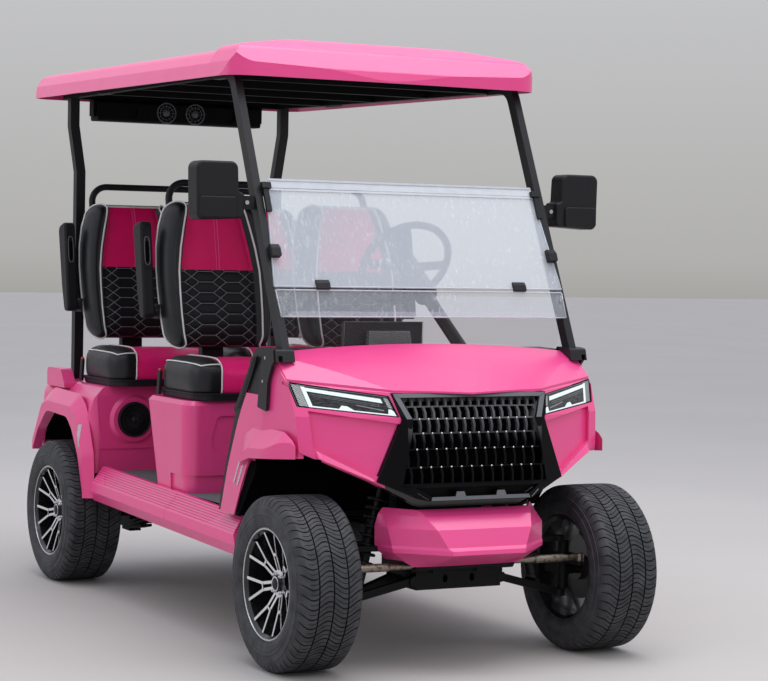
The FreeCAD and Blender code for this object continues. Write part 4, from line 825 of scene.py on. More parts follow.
def make_cover(name, grid, shape, panel, is_held, materials, fill, mirrored=False):
    """A padded piece on a box's grid: shape places a point, panel picks a face's material."""
    keys, faces = box_surface(*grid)
    places = [[line[k] for line, k in zip(grid, key)] for key in keys]
    points = [shape(key, *place) for key, place in zip(keys, places)]
    if mirrored:
        faces = [face[::-1] for face in faces]
    slots = []
    for face in faces:
        middle = [sum(places[i][axis] for i in face) / 4 for axis in range(3)]
        slots.append(panel([keys[i] for i in face], *middle))
    held = [number for number, key in enumerate(keys) if is_held(key, *places[number])]
    obj = place_mesh(name, points, faces, materials, "cart", True, slots)
    covers.append((obj, held, fill))
    return obj


# Rows of the back: height, half width, half width of the centre panel
BACK_ROWS = ((1012, 196, 140), (1060, 216, 152), (1150, 226, 155), (1240, 230, 155), (1312, 231, 153),
             (1400, 226, 139), (1480, 211, 121), (1540, 190, 108), (1578, 170, 100))
BACK_BOX = (Vector((-1, 0, BACK_BOTTOM)), Vector((1, 1, BACK_TOP)), Vector((0.17, 0.42, 46)))
BACK_DEPTH = 112
# Shares across the back: the seam of the centre panel and the piping on the bolster
BACK_SEAM, BACK_PIPE = 0.62, 0.70


def back_shape(u, v, z):
    """The cover's place for a share across (-1 to 1), a share through (0 front, 1 rear) and a height."""
    half, seam = blend_rows(BACK_ROWS, z)
    side = abs(u)
    into = max(0.0, (side - BACK_SEAM) / (1 - BACK_SEAM))
    x = seam + (half - seam) * into if into > 0 else seam * side / BACK_SEAM
    front = 15.0 - 31.0 * math.sin(math.pi * min(1.0, into * 1.05)) ** 0.8
    if side < BACK_SEAM:
        belly = 7 * math.cos(u * 1.4 * math.pi / 2)
        lumbar = 8 * math.exp(-((z - 1130) / 90) ** 2)
        front -= belly + lumbar
    return math.copysign(x, u) if u else 0.0, front + (BACK_DEPTH - front) * v


def back_point(u, v, z, side, shift, sink=0.0, wrinkle=0.0):
    """A point of the cover by its shares and height, sunk into it and wrinkled as far as is given."""
    q = rounded(Vector((u, v, z)), *BACK_BOX)
    x, y = back_shape(*q)
    y += sink
    fold = wrinkle * noise.noise(Vector((x * 0.012 + side * 7, y * 0.01 + shift, q.z * 0.02)))
    lean = (q.z - BACK_BOTTOM) * RECLINE
    return Vector((side * SEAT_MIDDLE + x, BACK_FACE + shift + y + lean + fold, q.z))


def make_seat_back(name, side, shift):
    grid = (spaced(-1, 1, 26, (-BACK_SEAM, BACK_SEAM)), spaced(0, 1, 6),
            spaced(BACK_BOTTOM, BACK_TOP, 26, (PANEL_SPLIT,)))

    def on_split(u, z):
        return abs(z - PANEL_SPLIT) < 1e-6 and abs(u) < BACK_SEAM

    def shape(key, u, v, z):
        sink = 0.0
        if key[1] == 0:
            sink = 2.5 * on_split(u, z) + 5.0 * (abs(abs(u) - BACK_SEAM) < 1e-6)
        return back_point(u, v, z, side, shift, sink, 1.3)

    def panel(keys, u, _, z):
        if abs(u) < BACK_SEAM and all(key[1] <= 1 for key in keys):
            return 1 if z > PANEL_SPLIT else 2
        return 0

    def is_held(key, u, v, z):
        return 0.6 < abs(u) < 0.71 or on_split(u, z) or v > 0.45 or key[2] in (0, len(grid[2]) - 1)

    obj = make_cover(name, grid, shape, panel, is_held, [seat_black, seat_pink, seat_quilt], 0.75)
    make_back_piping(name, side, shift)
    return obj


def make_back_piping(name, side, shift):
    """White piping round each bolster and along the top of the centre panel."""
    parts = Parts()

    def run(hand, z, lift, shares):
        return [back_point(hand * (BACK_PIPE + (1 - BACK_PIPE) * share), BACK_SEAM * share ** 0.6, z, side, shift)
                + Z * lift for share in shares]

    for hand in (-1, 1):
        heights = steps(BACK_BOTTOM + 2, BACK_TOP - 2, 40)
        inner = [back_point(hand * BACK_PIPE, 0, z, side, shift, -1.5) for z in heights]
        outer = [back_point(hand, BACK_SEAM, z, side, shift) + X * hand * 1.2 for z in heights]
        over = run(hand, BACK_TOP, 1.5, steps(0, 1, 8)[1:-1])
        under = run(hand, BACK_BOTTOM, -1.5, steps(1, 0, 8)[1:-1])
        parts.tube(inner + over + outer[::-1] + under, 3.8, 8, closed=True)
    top = [back_point(u, 0.08, BACK_TOP, side, shift, -1.5) + Z for u in steps(-BACK_PIPE, BACK_PIPE, 16)]
    parts.tube(top, 3.4, 8)
    parts.place(name + "_piping", [piping_white])


CUSHION_BOX = (Vector((12, -200, 826)), Vector((525, 200, 985)), Vector((78, 86, 50)))
CUSHION_LOW, CUSHION_HIGH = CUSHION_BOX[:2]
CUSHION_SEAMS = (92.0, 425.0)
# Height at which the black base of the cushion ends
CUSHION_SPLIT = 852.0


def cushion_point(point, side, shift):
    """Crowns the top, raises the bolsters and rounds the corners of a cushion's box."""
    low, high = CUSHION_LOW, CUSHION_HIGH
    x, y, z = rounded(point, *CUSHION_BOX)
    up = smooth_step((z - 860) / 120)
    across = (x - CUSHION_SEAMS[0]) / (CUSHION_SEAMS[1] - CUSHION_SEAMS[0])
    along = (y - low.y) / (high.y - low.y)
    arch = math.sin(math.pi * clip(along))
    if 0 < across < 1:
        z += up * (-16 + 7 * math.sin(math.pi * across) * arch)
        y -= (1 - along) * 4 * math.sin(math.pi * across) * smooth_step((z - low.z) / 60)
    else:
        z += up * 3 * arch
    bulge = math.sin(math.pi * clip((z - low.z) / (high.z - low.z)))
    if along < 0.2:
        y -= 3 * bulge
    x += 3.0 * bulge * (1 if across > 0.9 else -1 if across < 0.1 else 0)
    x = min(x, high.x + 2)
    z += 1.2 * noise.noise(Vector((x * 0.015 * side, y * 0.014 + shift, 3)))
    return Vector((side * x, y + shift, z))


def make_cushion(name, side, shift):
    grid = (spaced(CUSHION_LOW.x, CUSHION_HIGH.x, 22, CUSHION_SEAMS), spaced(CUSHION_LOW.y, CUSHION_HIGH.y, 18),
            spaced(CUSHION_LOW.z, CUSHION_HIGH.z, 8, (CUSHION_SPLIT,)))
    rear, top = len(grid[1]) - 1, len(grid[2]) - 1

    def shape(key, x, y, z):
        shaped = cushion_point(Vector((x, y, z)), side, shift)
        if x in CUSHION_SEAMS:
            shaped += Y * 3 * (key[1] == 0) - Z * 4 * (key[2] == top)
        return shaped

    def panel(keys, x, _, z):
        inside = CUSHION_SEAMS[0] < x < CUSHION_SEAMS[1] and z > CUSHION_SPLIT
        return 1 if inside and not all(key[1] == rear for key in keys) else 0

    def is_held(key, x, _, z):
        return x in CUSHION_SEAMS or key[2] == top - 1 or z < CUSHION_SPLIT + 1 or key[1] == rear

    obj = make_cover(name, grid, shape, panel, is_held, [seat_black, cushion_pink], 0.8, side < 0)
    make_cushion_piping(name, side, shift)
    make_cushion_tray(name, side, shift)
    return obj


def make_cushion_piping(name, side, shift):
    """White piping along both seams and round the outer edge."""
    parts = Parts()
    low, high = CUSHION_LOW, CUSHION_HIGH
    rim_z = 968

    def at(x, y, z, out):
        return cushion_point(Vector((x, y, z)), side, shift) + Vector((side * out[0], out[1], out[2]))

    for x in CUSHION_SEAMS:
        over = [at(x, y, high.z, (0, 0, -1.5)) for y in steps(high.y, low.y, 30)[2:]]
        down = [at(x, low.y, z, (0, -0.5, 0)) for z in steps(high.z, CUSHION_SPLIT, 14)[1:]]
        parts.tube(over + down, 3.0, 8)
    rim = [at(high.x, y, rim_z, (1.5, 0, 1)) for y in steps(high.y, low.y, 24)[1:]]
    corner = [at(x, low.y, rim_z, (0.5, -1.5, 1)) for x in steps(high.x, high.x - 100, 8)[1:]]
    parts.tube(rim + corner, 2.8, 8)
    parts.place(name + "_piping", [piping_white])


# Corners of the tray: place, radius and the way in to the tray's middle
TRAY_CORNERS = ((16, -200, 6, 1, 1), (524, -200, 76, -1, 1), (524, 198, 40, -1, -1), (16, 198, 6, 1, -1))
# Rings of the tray from its foot up to its lip and in: height and growth outward
TRAY_RINGS = ((827, -10), (829, -6), (846, -2), (850, 3), (854, 3), (856, -2), (856, -26))
TRAY_MIDDLE = Vector((270, 0, 0))


def make_cushion_tray(name, side, shift):
    """The black moulded pan that the cushion stands in, with a lip round its top edge."""
    outline = []
    for x, y, radius, sx, sy in TRAY_CORNERS:
        start = math.atan2(-sy, -sx)
        for turn in steps(start - math.pi / 4, start + math.pi / 4, 6):
            outline.append(Vector((x + (sx + math.cos(turn)) * radius, y + (sy + math.sin(turn)) * radius, 0)))
    rings = []
    for z, grow in TRAY_RINGS:
        grown = [point + (point - TRAY_MIDDLE).normalized() * grow for point in outline]
        rings.append([Vector((side * point.x, point.y + shift, z)) for point in grown])
    parts = Parts()
    parts.skin(rings)
    parts.place(name + "_tray", [black_plastic], smooth=False)


def puff_covers():
    """A short cloth simulation swells each cover between its held seams; the result is kept in the mesh."""
    starts = []
    for obj, held, _ in covers:
        starts.append([vertex.co.copy() for vertex in obj.data.vertices])
        obj.vertex_groups.new(name="held").add(held, 1.0, "REPLACE")
        cloth = obj.modifiers.new("puff", "CLOTH")
        cloth.settings.vertex_group_mass = "held"
        cloth.settings.use_pressure = True
        cloth.settings.uniform_pressure_force = PUFF_PRESSURE
        cloth.settings.effector_weights.gravity = 0
        cloth.point_cache.frame_end = PUFF_FRAMES
    for frame_number in range(1, PUFF_FRAMES + 1):
        scene.frame_set(frame_number)
    graph = bpy.context.evaluated_depsgraph_get()
    for (obj, _, _), start in zip(covers, starts):
        moves = [vertex.co - old for vertex, old in zip(obj.evaluated_get(graph).data.vertices, start)]
        obj.modifiers.remove(obj.modifiers["puff"])
        obj.vertex_groups.clear()
        for vertex, old, move in zip(obj.data.vertices, start, moves):
            vertex.co = old + move * min(1.0, PUFF_CAP * MM / max(move.length, 1e-9))
        obj.data.update()
    scene.frame_set(1)


def finish_covers():
    puff_covers()
    for obj, _, fill in covers:
        swell = obj.modifiers.new("smooth", "SUBSURF")
        swell.levels = 1
        swell.render_levels = 2


def make_seats():
    for row, shift in ROWS:
        for label, side in SIDES:
            back = make_seat_back("back_" + row + "_" + label, side, shift)
            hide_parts("seat_backs")
            cushion = make_cushion("cushion_" + row + "_" + label, side, shift)
            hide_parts("seat_cushions")
    finish_covers()


# Lamps

# Corners of the lamp's face (x, z): outer and inner end of its top edge, then of its lower edge
LAMP_CORNERS = ((598, 956), (303, 917), (579, 877), (281, 848))
# The seal is drawn in to the lamp's middle by a share, and by a larger one beyond a place near its outer end
LAMP_MIDDLE = (440, 900)
SEAL_IN, SEAL_IN_OUTER, SEAL_OUTER = 0.03, 0.06, 560


def lamp_place(s, t):
    """A point of the lamp's face: s from its outer to its inner end, t from top to bottom."""
    outer_top, inner_top, outer_low, inner_low = LAMP_CORNERS
    return between(between(outer_top, inner_top, s), between(outer_low, inner_low, s), t)


def lamp_rows(s0, s1, t0, t1, count, t0_end=None, t1_end=None):
    """Rows (s, t of the upper edge, t of the lower edge) of a band from one end to the other."""
    end = (s1, t0 if t0_end is None else t0_end, t1 if t1_end is None else t1_end)
    return [between((s0, t0, t1), end, i / count) for i in range(count + 1)]


# Each band of the lamp: its rows, how proud it stands and its material
LAMP_BANDS = (
    (lamp_rows(0.155, 0.9, 0.13, 0.28, 12, 0.2, 0.40), 1.2, 0),
    (lamp_rows(0.125, 0.168, 0.1, 0.97, 3), 1.5, 0),
    (lamp_rows(0.15, 0.985, 0.895, 0.975, 12), 1.2, 0),
    ([(0.43, 0.88, 0.92), (0.465, 0.74, 0.92), (0.52, 0.74, 0.92), (0.57, 0.88, 0.92)], 1.3, 0),
    ([(0.905, 0.9, 0.93), (0.93, 0.66, 0.93), (0.96, 0.66, 0.93), (0.99, 0.84, 0.93)], 1.3, 0),
    (lamp_rows(0.02, 0.12, 0.08, 0.95, 3), 0.7, 1),
    (lamp_rows(0.935, 0.985, 0.14, 0.6, 3), 0.7, 1),
    (lamp_rows(0.02, 0.98, 0.02, 0.075, 12), 0.6, 2),
    (lamp_rows(0.19, 0.86, 0.37, 0.385, 8, 0.5, 0.515), 0.7, 2),
    (lamp_rows(0.2, 0.86, 0.45, 0.462, 8, 0.58, 0.592), 0.7, 2),
    (lamp_rows(0.62, 0.88, 0.62, 0.66, 6, 0.72, 0.78), 0.8, 2),
    (lamp_rows(0.22, 0.3, 0.6, 0.82, 3), 0.6, 3),
)


def lamp_point(side, s, t, proud):
    x, z = lamp_place(s, t)
    return front_point(["headlamps"], side * x, z, proud)


def make_lamps():
    """The bands inside each lamp and the dark seal round it, which is drawn in a little to the lamp's middle."""
    for label, side in SIDES:
        parts = Parts()
        for rows, proud, slot in LAMP_BANDS:
            upper = [lamp_point(side, s, t, proud) for s, t, _ in rows]
            lower = [lamp_point(side, s, t, proud) for s, _, t in rows]
            parts.strip(upper, lower, Y * 1.8, slot)
        parts.place_rounded("lamp_bands_" + label, [lamp_white, lamp_rib, lamp_grey, lamp_dark], 0.4)
        seal = Parts()
        loop = [lamp_place(s, t) for s, t in ((0, 0), (1, 0), (1, 1), (0, 1))]
        points = []
        for start, end in zip(loop, loop[1:] + loop[:1]):
            for i in range(10):
                x, z = between(start, end, i / 10)
                x += (LAMP_MIDDLE[0] - x) * (SEAL_IN if x < SEAL_OUTER else SEAL_IN_OUTER)
                z += (LAMP_MIDDLE[1] - z) * SEAL_IN
                points.append(front_point(["headlamps", "front_cowl", "hood"], side * x, z, 0.5))
        seal.tube(points, 2.4, 6, closed=True)
        seal.place("lamp_seal_" + label, [deep_black])


# Grille trim

# Plates on each side of the grille: outline (x, z), how proud it stands and its thickness
GRILLE_PLATES = (
    (((295, 923), (270, 910), (240, 843), (260, 843)), 1.4, 2.0),
    (((198, 577), (187, 588), (216, 608), (234, 600)), 1.4, 2.0),
    (((58, 586), (64, 603), (92, 603), (98, 586)), 1.6, 2.4),
)
# Rows of the dark screen behind the lattice: height, place, share of the top's width
GRILLE_BACK = ((630, -1348, 1.02), (841, -1312, 0.93), (906, -1282, 1.0))
NOSE_LINE = 920.0
# Heights of the lattice's bars; the studs sit on all but the lowest
BAR_LEVELS = (841, 794, 742, 683, 628)


def make_grille_trim():
    names = ["grille"]
    parts = Parts()
    for hand in (1, -1):
        for outline, proud, thickness in GRILLE_PLATES:
            front_plate(parts, names, [(hand * x, z) for x, z in outline], proud, thickness)
    chin = [(x, 575) for x in steps(-190, 190, 8)] + [(x, 587) for x in steps(186, -186, 8)]
    front_plate(parts, names, chin, 1.4, 2.0)
    parts.place("grille_trim", [trim_grey], smooth=False)
    strip = Parts()
    outline = [(x, 925.0) for x in steps(-296, 296, 10)] + [(x, 912.0) for x in steps(272, -272, 10)]
    front_plate(strip, names, outline, 1.0, 1.6)
    strip.place("grille_top_strip", [trim_grey], smooth=False)
    backing = Parts()
    middle = front_point(names, 0, NOSE_LINE).y
    nose = [(x, front_point(names, x, NOSE_LINE).y - middle) for x in range(-264, 265, 44)]
    rows = []
    for z in (906, 841, 735, 630):
        y, width = blend_rows(GRILLE_BACK, z)
        rows.append([Vector((x * width, y + bend, z)) for x, bend in nose])
    for upper, lower in zip(rows, rows[1:]):
        backing.strip(upper, lower, Y * 3)
    backing.place("grille_backing", [deep_black])
    studs = Parts()
    for row, (top, low) in enumerate(zip(BAR_LEVELS, BAR_LEVELS[1:])):
        pitch = 33.5 + (BAR_LEVELS[0] - (top + low) / 2) * 0.028
        limit = 222 + (BAR_LEVELS[0] - top) * 0.12
        for column in range(-8, 9):
            x = (column + 0.5 * (row % 2)) * pitch
            if abs(x) < limit:
                studs.ball(cast(names, (x, FAR_AHEAD, top), Y) + Y * 0.4, 4.2, (1, 0.6, 0.8), 5, 10)
    studs.place("grille_studs", [bright_steel])


# Windscreen trim

SCREEN_TOP = 1637
# Side edge of the folding pane: height and half width
SCREEN_SIDE = ((1638, 534), (1560, 542.6), (1480, 551.2), (1400, 559.9), (1320, 568.5), (1270, 573.8))
# Cross edges of the panes: height, half width and radius of the bead
SCREEN_CROSS = ((1271.5, 566, 2.2), (1259, 566, 2.2), (1170.5, 560, 1.8))
# Bars of the top lip: lower and upper height, how proud it stands and its thickness
SCREEN_LIP = ((1600, 1607, 3.0, 3.0), (1609, 1636, 2.2, 2.2), (1634, 1641, 5.0, 10.0))


def make_screen_trim():
    names = ["windscreen"]
    parts = Parts()
    for hand in (1, -1):
        parts.tube([front_point(names, hand * (half - 3), z, 0.2) for z, half in SCREEN_SIDE], 1.6, 6)
        parts.tube([front_point(names, hand * x, z, 0.2) for x, z in ((569, 1258), (564.5, 1172))], 1.5, 6)
    for z, half, radius in SCREEN_CROSS:
        parts.tube([front_point(names, x, z, 0.2) for x in steps(-half, half, 24)], radius, 6)
    parts.place("screen_edges", [screen_edge])
    lip = Parts()

    def across(xs, z, proud):
        """Points across the pane; above its top edge they stay as deep as that edge."""
        level = min(z, SCREEN_TOP)
        return [front_point(names, x, level, proud) + Z * (z - level) for x in xs]

    for z0, z1, proud, thick in SCREEN_LIP:
        low, high = across(steps(-530, 530, 4), z0, proud), across(steps(530, -530, 4), z1, proud)
        lip.slab(low + high, Y * thick)
    lip.place("screen_top_lip", [screen_edge], smooth=False)


# Body trim

# Strip behind the cowl's rear edge: height, y of its front edge and of its rear edge
COWL_STRIP = ((474, -620, -588), (560, -652, -619), (640, -683, -646), (723, -717, -680), (800, -748, -706),
              (826, -759, -715), (834, -763, -696), (910, -808, -755), (975, -849, -800), (1030, -877, -838))
RIBS, RIB_START, RIB_PITCH = 22, 845.0, 8.5


def cowl_side(z):
    """Distance of the cowl's outside from the middle plane at a height."""
    return 602 - max(0, z - 720) * 0.035


def make_cowl_trim():
    """Black ribbed strip behind each rear edge of the cowl, wider at its top."""
    for label, side in SIDES:
        parts = Parts()
        edges = [(Vector((side * cowl_side(z), y0, z)), Vector((side * (cowl_side(z) - 3), y1, z)))
                 for z, y0, y1 in COWL_STRIP]
        for (a0, a1), (b0, b1) in zip(edges, edges[1:]):
            parts.slab([a0, a1, b1, b0], X * side * -7)
        parts.place("cowl_trim_" + label, [black_plastic], smooth=False)
        ribs = Parts()
        for i in range(RIBS):
            z = RIB_START + RIB_PITCH * i
            y0, y1 = blend_rows(COWL_STRIP, z)
            x = cowl_side(z)
            ribs.rod((side * (x + 0.4), y0 + 10, z), (side * (x - 2.6), y1 - 3, z - 4), 2.0, 8)
        ribs.place("cowl_ribs_" + label, [black_plastic])


# Outline (y, z) of the flap behind the front arch
ARCH_FLAP = ((-838, 640), (-800, 576), (-775, 543), (-741, 504), (-735, 480), (-776, 468), (-808, 506), (-840, 545),
             (-888, 602), (-918, 640), (-918, 672), (-862, 672))


def make_arch_flaps():
    """The dark flap that closes the gap between each front arch's rear edge and the toe board."""
    for label, side in SIDES:
        parts = Parts()
        parts.slab([(side * 597, y, z) for y, z in ARCH_FLAP], X * side * 4)
        parts.place_rounded("arch_flap_" + label, [deep_black], 1.5)


# Lower edge of the cheek: its outer end, its length inward, and a place on it with its slope
CHEEK_OUTER, CHEEK_LENGTH = 530, 176
CHEEK_X, CHEEK_Z, CHEEK_SLOPE = 419, 658, 0.444


def make_cheek_lips():
    """The chamfered lip along each cheek's lower edge, from the arch in to the chin, turned up to the light."""
    for label, side in SIDES:
        upper, lower = [], []
        for share in steps(0, 1, 16):
            x = CHEEK_OUTER - CHEEK_LENGTH * share
            edge = CHEEK_Z + CHEEK_SLOPE * (x - CHEEK_X)
            upper.append(front_point(["front_cowl"], side * x, edge + 27 - 17 * share, 0.4))
            lower.append(front_point(["front_cowl"], side * x, edge + 1.5, 15 - 9 * share))
        parts = Parts()
        parts.strip(upper, lower, Y * 11)
        parts.place_rounded("cheek_lip_" + label, [body_paint], 1.2)


# Reflector strips: panel, then the ends (y, z) of each long edge
REFLECTORS = (
    ("front_cowl", ((-788, 656), (-744, 580)), ((-780, 660), (-736, 584))),
    ("front_cowl", ((-824, 651), (-774, 575)), ((-816, 656), (-766, 580))),
    ("fender_flares", ((793, 667), (767, 577)), ((783, 669), (757, 580))),
)


def make_reflectors():
    """White strips beside the front arch and on the rear flare, laid on the panel below them."""
    for label, side in SIDES:
        parts = Parts()
        for node, *edges in REFLECTORS:
            upper, lower = [[side_point([node], side, *between(start, end, share), 2.0) for share in steps(0, 1, 8)]
                            for start, end in edges]
            parts.strip(upper, lower, X * side * -2.4)
        parts.place("reflectors_" + label, [reflector], smooth=False)


SPEAKER_X, SPEAKER_Z = 414.0, 689.0
PETALS = 28


def make_speaker_grilles():
    """Round black grilles with curved petals, in the rear seat's base."""
    for label, side in SIDES:
        middle = Vector((side * SPEAKER_X, 0, SPEAKER_Z))
        middle.y = cast(["speakers"], (middle.x, 500, middle.z), Y).y
        parts = Parts()
        parts.tube(circle(middle - Y * 2, 68, 48), 4.0, 8, closed=True)
        for i in range(PETALS):
            petal = []
            for share in steps(0, 1, 7):
                bend = TURN * i / PETALS + 0.5 * share * share
                way = Vector((math.cos(bend), 0, math.sin(bend)))
                petal.append(middle + way * (15 + 52 * share) - Y * (1.5 + 3 * math.sin(math.pi * share)))
            parts.tube(petal, 1.9, 6)
        for radius in (32, 50):
            parts.tube(circle(middle - Y, radius, 40), 1.3, 6, closed=True)
        parts.ball(middle - Y * 2, 15, (1, 0.45, 1), 8, 24)
        parts.place("speaker_grille_" + label, [black_plastic])


ROOF_SPEAKER_X = 68.0
SPOKES = 12


def make_roof_speakers():
    """Trim rings, spokes and domes of the two speakers in the overhead housing."""
    parts = Parts()
    low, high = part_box("sound_bar")
    z = (low.z + high.z) / 2 / MM + 1
    for x in (-ROOF_SPEAKER_X, ROOF_SPEAKER_X):
        middle = Vector((x, cast(["sound_bar"], (x - 60, 500, z), Y).y, z))
        for radius, thick in ((43, 3.0), (30, 1.6)):
            parts.tube(circle(middle - Y, radius, 40), thick, 8, closed=True)
        parts.ball(middle + Y * 4, 17, (1, 0.5, 1), 8, 20)
        for inner, outer in zip(circle(middle + Y * 2, 15, SPOKES), circle(middle - Y, 42, SPOKES)):
            parts.rod(inner, outer, 1.3, 6)
    parts.place("roof_speakers", [trim_grey])


UNIT_RIBS, UNIT_PITCH = 20, 8


def make_dash_units():
    """The low display behind the clear pane and the ribbed unit in front of it."""
    low = [Vector((x, y, 1058)) for x, y in ((-292, -940), (18, -940), (18, -918), (-292, -918))]
    high = [Vector((x, y, 1150)) for x, y in ((-282, -926), (26, -926), (26, -904), (-282, -904))]
    parts = Parts()
    parts.skin([low, high])
    parts.place_rounded("dash_display", [black_plastic], 3)
    rim = Parts()
    rim.tube([point - Y * 1.5 for point in (low[0], low[1], high[1], high[0])], 1.6, 6, closed=True)
    rim.place("dash_display_rim", [trim_grey], smooth=False)
    unit = Parts()
    unit.slab([(-212, -976, 1056), (-40, -976, 1056), (-46, -968, 1120), (-206, -968, 1120)], Y * 26)
    for i in range(UNIT_RIBS):
        x = -204 + UNIT_PITCH * i
        unit.rod((x, -976.5, 1060), (x + 4, -969.5, 1116), 1.5, 6)
    unit.place_rounded("dash_unit", [unit_grey], 1.0)


# Outlines (x, z) of the raised lower half of a mirror's housing and of its glass
MIRROR_SHELL = ((668, 1500), (789, 1500), (796, 1508), (796, 1566), (789, 1574), (668, 1574), (661, 1566),
                (661, 1508))
MIRROR_GLASS = ((668, 1508), (788, 1508), (788, 1678), (668, 1678))


def make_mirrors():
    """The glasses, and the raised lower half of each housing on the side that faces forward."""
    glasses = Parts()
    for side in (1, -1):
        glasses.slab([(side * x, -762.5, z) for x, z in MIRROR_GLASS], Y * 2)
    glasses.place_rounded("mirror_glasses", [mirror_glass], 6, 3)
    for label, side in SIDES:
        parts = Parts()
        face = front_point(["mirrors"], side * 728, 1540).y
        parts.slab([Vector((side * x, face - 9, z)) for x, z in MIRROR_SHELL], Y * 14)
        parts.place_rounded("mirror_shell_" + label, [black_plastic], 5, 3)


def make_bolts():
    """Bright bolts on the struts and the mirrors' arms."""
    parts = Parts()
    for side in (1, -1):
        hit = front_point(["windscreen", "roof_pillars"], side * 559, 1230)
        parts.rod(hit + Y, hit - Y * 3, 8.5, 14)
        parts.rod(hit - Y * 3, hit - Y * 7, 5.0, 6)
        hit = front_point(["mirrors"], side * 612, 1555)
        parts.rod(hit + Y, hit - Y * 4, 7.5, 12)
        for y, z in ((-1002, 1030), (-984, 950)):
            hit = side_point(["roof_pillars"], side, y, z)
            parts.rod(hit - X * side, hit + X * side * 2.4, 5.5, 12)
    parts.place("bolts", [bright_steel], smooth=False)


HANDLE_START, HANDLE_LENGTH = 720.0, 220.0
HANDLE_HEIGHT, HANDLE_DROP = 2042, 26


def make_grab_handles():
    """A short black grab handle under each side rail of the roof."""
    for label, side in SIDES:
        rail = 2030 + HANDLE_START * ROOF_SLOPE
        x = cast(["roof_frame"], (side * 700, HANDLE_START, rail), X * -side).x - side * 14
        path = []
        for share in steps(0, 1, 16):
            y = HANDLE_START + HANDLE_LENGTH * share
            drop = HANDLE_DROP * min(1.0, math.sin(math.pi * share) * 2.2)
            path.append((x, y, HANDLE_HEIGHT + y * ROOF_SLOPE - drop))
        parts = Parts()
        parts.tube(path, 8.0, 10)
        parts.place("grab_handles_" + label, [black_plastic])


BUCKLE_PLACES = (533.5, 3.0, -533.5)
BUCKLE_RISE = Vector((0, -14, 92))


def make_buckles():
    """Belt buckles with a red button: one outside each seat and one between the seats of a row."""
    parts = Parts()

    def block(centre, half_x, half_y, forward, slot):
        corners = ((-half_x, -half_y), (half_x, -half_y), (half_x, half_y), (-half_x, half_y))
        parts.slab([centre + Vector((x, y, 0)) for x, y in corners], forward, slot)

    for _, shift in ROWS:
        for x in BUCKLE_PLACES:
            foot = Vector((x, 168 + shift, 832))
            block(foot, 6, 13, BUCKLE_RISE, 0)
            block(foot + BUCKLE_RISE, 5, 9, Vector((0, -1, 8)), 1)
    parts.place_rounded("belt_buckles", [black_plastic, buckle_red], 2.5)


# Rings of the armrest's slot: half width, half height, height of the middle, radius of the bead and material
ARM_RINGS = ((17, 84, 1398, 2.4, 0), (11, 54, 1384, 1.8, 1))
ARM_MIDDLE = 572
ARM_POINTS = 28


def oval(value):
    """Bends a sine or cosine so that a circle of them fills its corners."""
    return math.copysign(abs(value) ** 0.6, value)


def make_arm_slots():
    """The slotted insert near the tip of each armrest, on the side that faces forward when it is up."""
    for row, _ in ROWS:
        for label, side in SIDES:
            place = row + "_" + label
            node = "armrest_" + place
            middle = side * ARM_MIDDLE
            parts = Parts()
            for half_x, half_z, height, radius, slot in ARM_RINGS:
                turns = [TURN * i / ARM_POINTS for i in range(ARM_POINTS)]
                loop = [arm_front(node, middle + half_x * oval(math.cos(t)), height + half_z * oval(math.sin(t)))
                        for t in turns]
                parts.tube(loop, radius, 8, slot, closed=True)
            parts.tube([arm_front(node, middle, z) - Y * 0.6 for z in steps(1342, 1420, 6)], 6.0, 8, 2)
            parts.place("arm_slot_" + place, [soft_black, trim_grey, deep_black], node)


def arm_front(node, x, z):
    """A point just before an armrest's front; past its edge it keeps the depth of the armrest's box."""
    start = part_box(node)[0].y / MM - 100
    hit = cast([node], (x, start, z), Y)
    return hit - Y * 0.5 if hit else Vector((x, start + 110, z))


# Floor and light

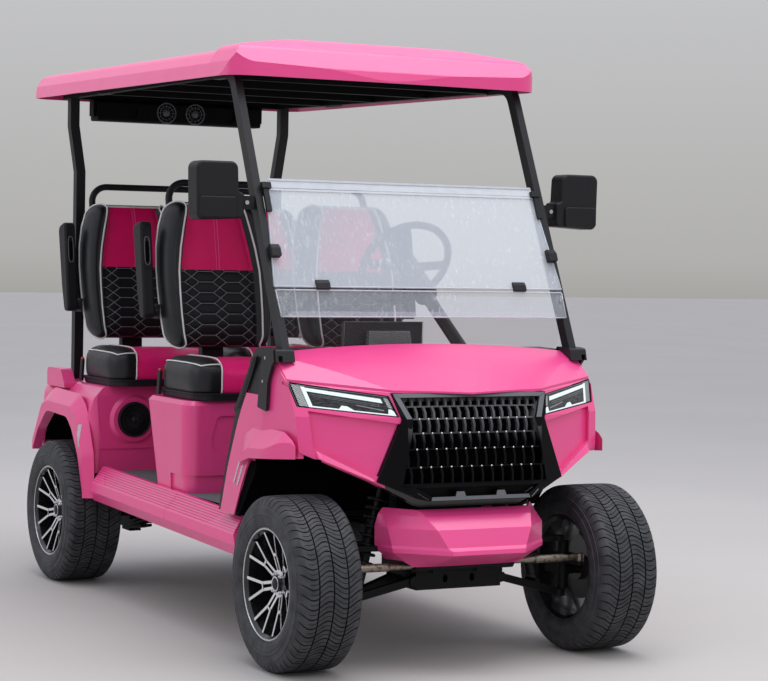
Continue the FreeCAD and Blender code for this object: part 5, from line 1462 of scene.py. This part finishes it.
def make_stage():
    mesh = bpy.data.meshes.new("floor_plane")
    mesh.from_pydata([(-60, -60, 0), (60, -60, 0), (60, 60, 0), (-60, 60, 0)], [], [(0, 1, 2, 3)])
    floor = bpy.data.objects.new("floor_plane", mesh)
    scene.collection.objects.link(floor)
    m = new_look("studio_floor")
    m.colour(m.noise(0.6, 6), (0.46, 0.445, 0.415), (0.52, 0.505, 0.475))
    m.rough(m.noise(3, 3), 0.75, 0.9)
    m.bump(m.noise(40, 6), 0.08, 0.003)
    mesh.materials.append(m.material)


# Sky from below the horizon to the top
SKY = ((0.47, (0.26, 0.25, 0.235)), (0.5, (0.46, 0.455, 0.44)), (0.62, (0.70, 0.71, 0.76)),
       (0.85, (0.93, 0.94, 1.08)))
SKY_STRENGTH = 0.95
# Lights: place, target, width and depth, power
LIGHTS = {
    "key": ((1.5, -7.0, 6.0), (0, -0.4, 0.9), (4, 3), 60),
    "top": ((0.5, -1.0, 7.0), (0, -0.3, 0.5), (6, 6), 300),
    "fill": ((-7, 1.5, 3.0), (0, 0, 0.8), (4, 3), 40),
}


def make_sky():
    scene.world = bpy.data.worlds.new("studio_world")
    sky = Nodes(scene.world, "Background", Strength=SKY_STRENGTH)
    height = sky.xyz("Generated")[2] * 0.5 + 0.5
    sky.feed(sky.shader.inputs["Color"], sky.ramp(height, *SKY))
    scene.view_settings.view_transform = "Standard"


def make_lights():
    for name, (place, target, size, power) in LIGHTS.items():
        data = bpy.data.lights.new(name, "AREA")
        data.shape = "RECTANGLE"
        data.size, data.size_y = size
        data.energy = power
        light = bpy.data.objects.new(name, data)
        light.location = place
        light.rotation_euler = (Vector(target) - Vector(place)).to_track_quat("-Z", "Y").to_euler()
        scene.collection.objects.link(light)


make_camera()
make_stage()
make_sky()
make_lights()
make_wheels()
make_seats()
make_lamps()
make_grille_trim()
make_screen_trim()
make_cowl_trim()
make_arch_flaps()
make_cheek_lips()
make_reflectors()
make_speaker_grilles()
make_roof_speakers()
make_dash_units()
make_mirrors()
make_bolts()
make_grab_handles()
make_buckles()
make_arm_slots()
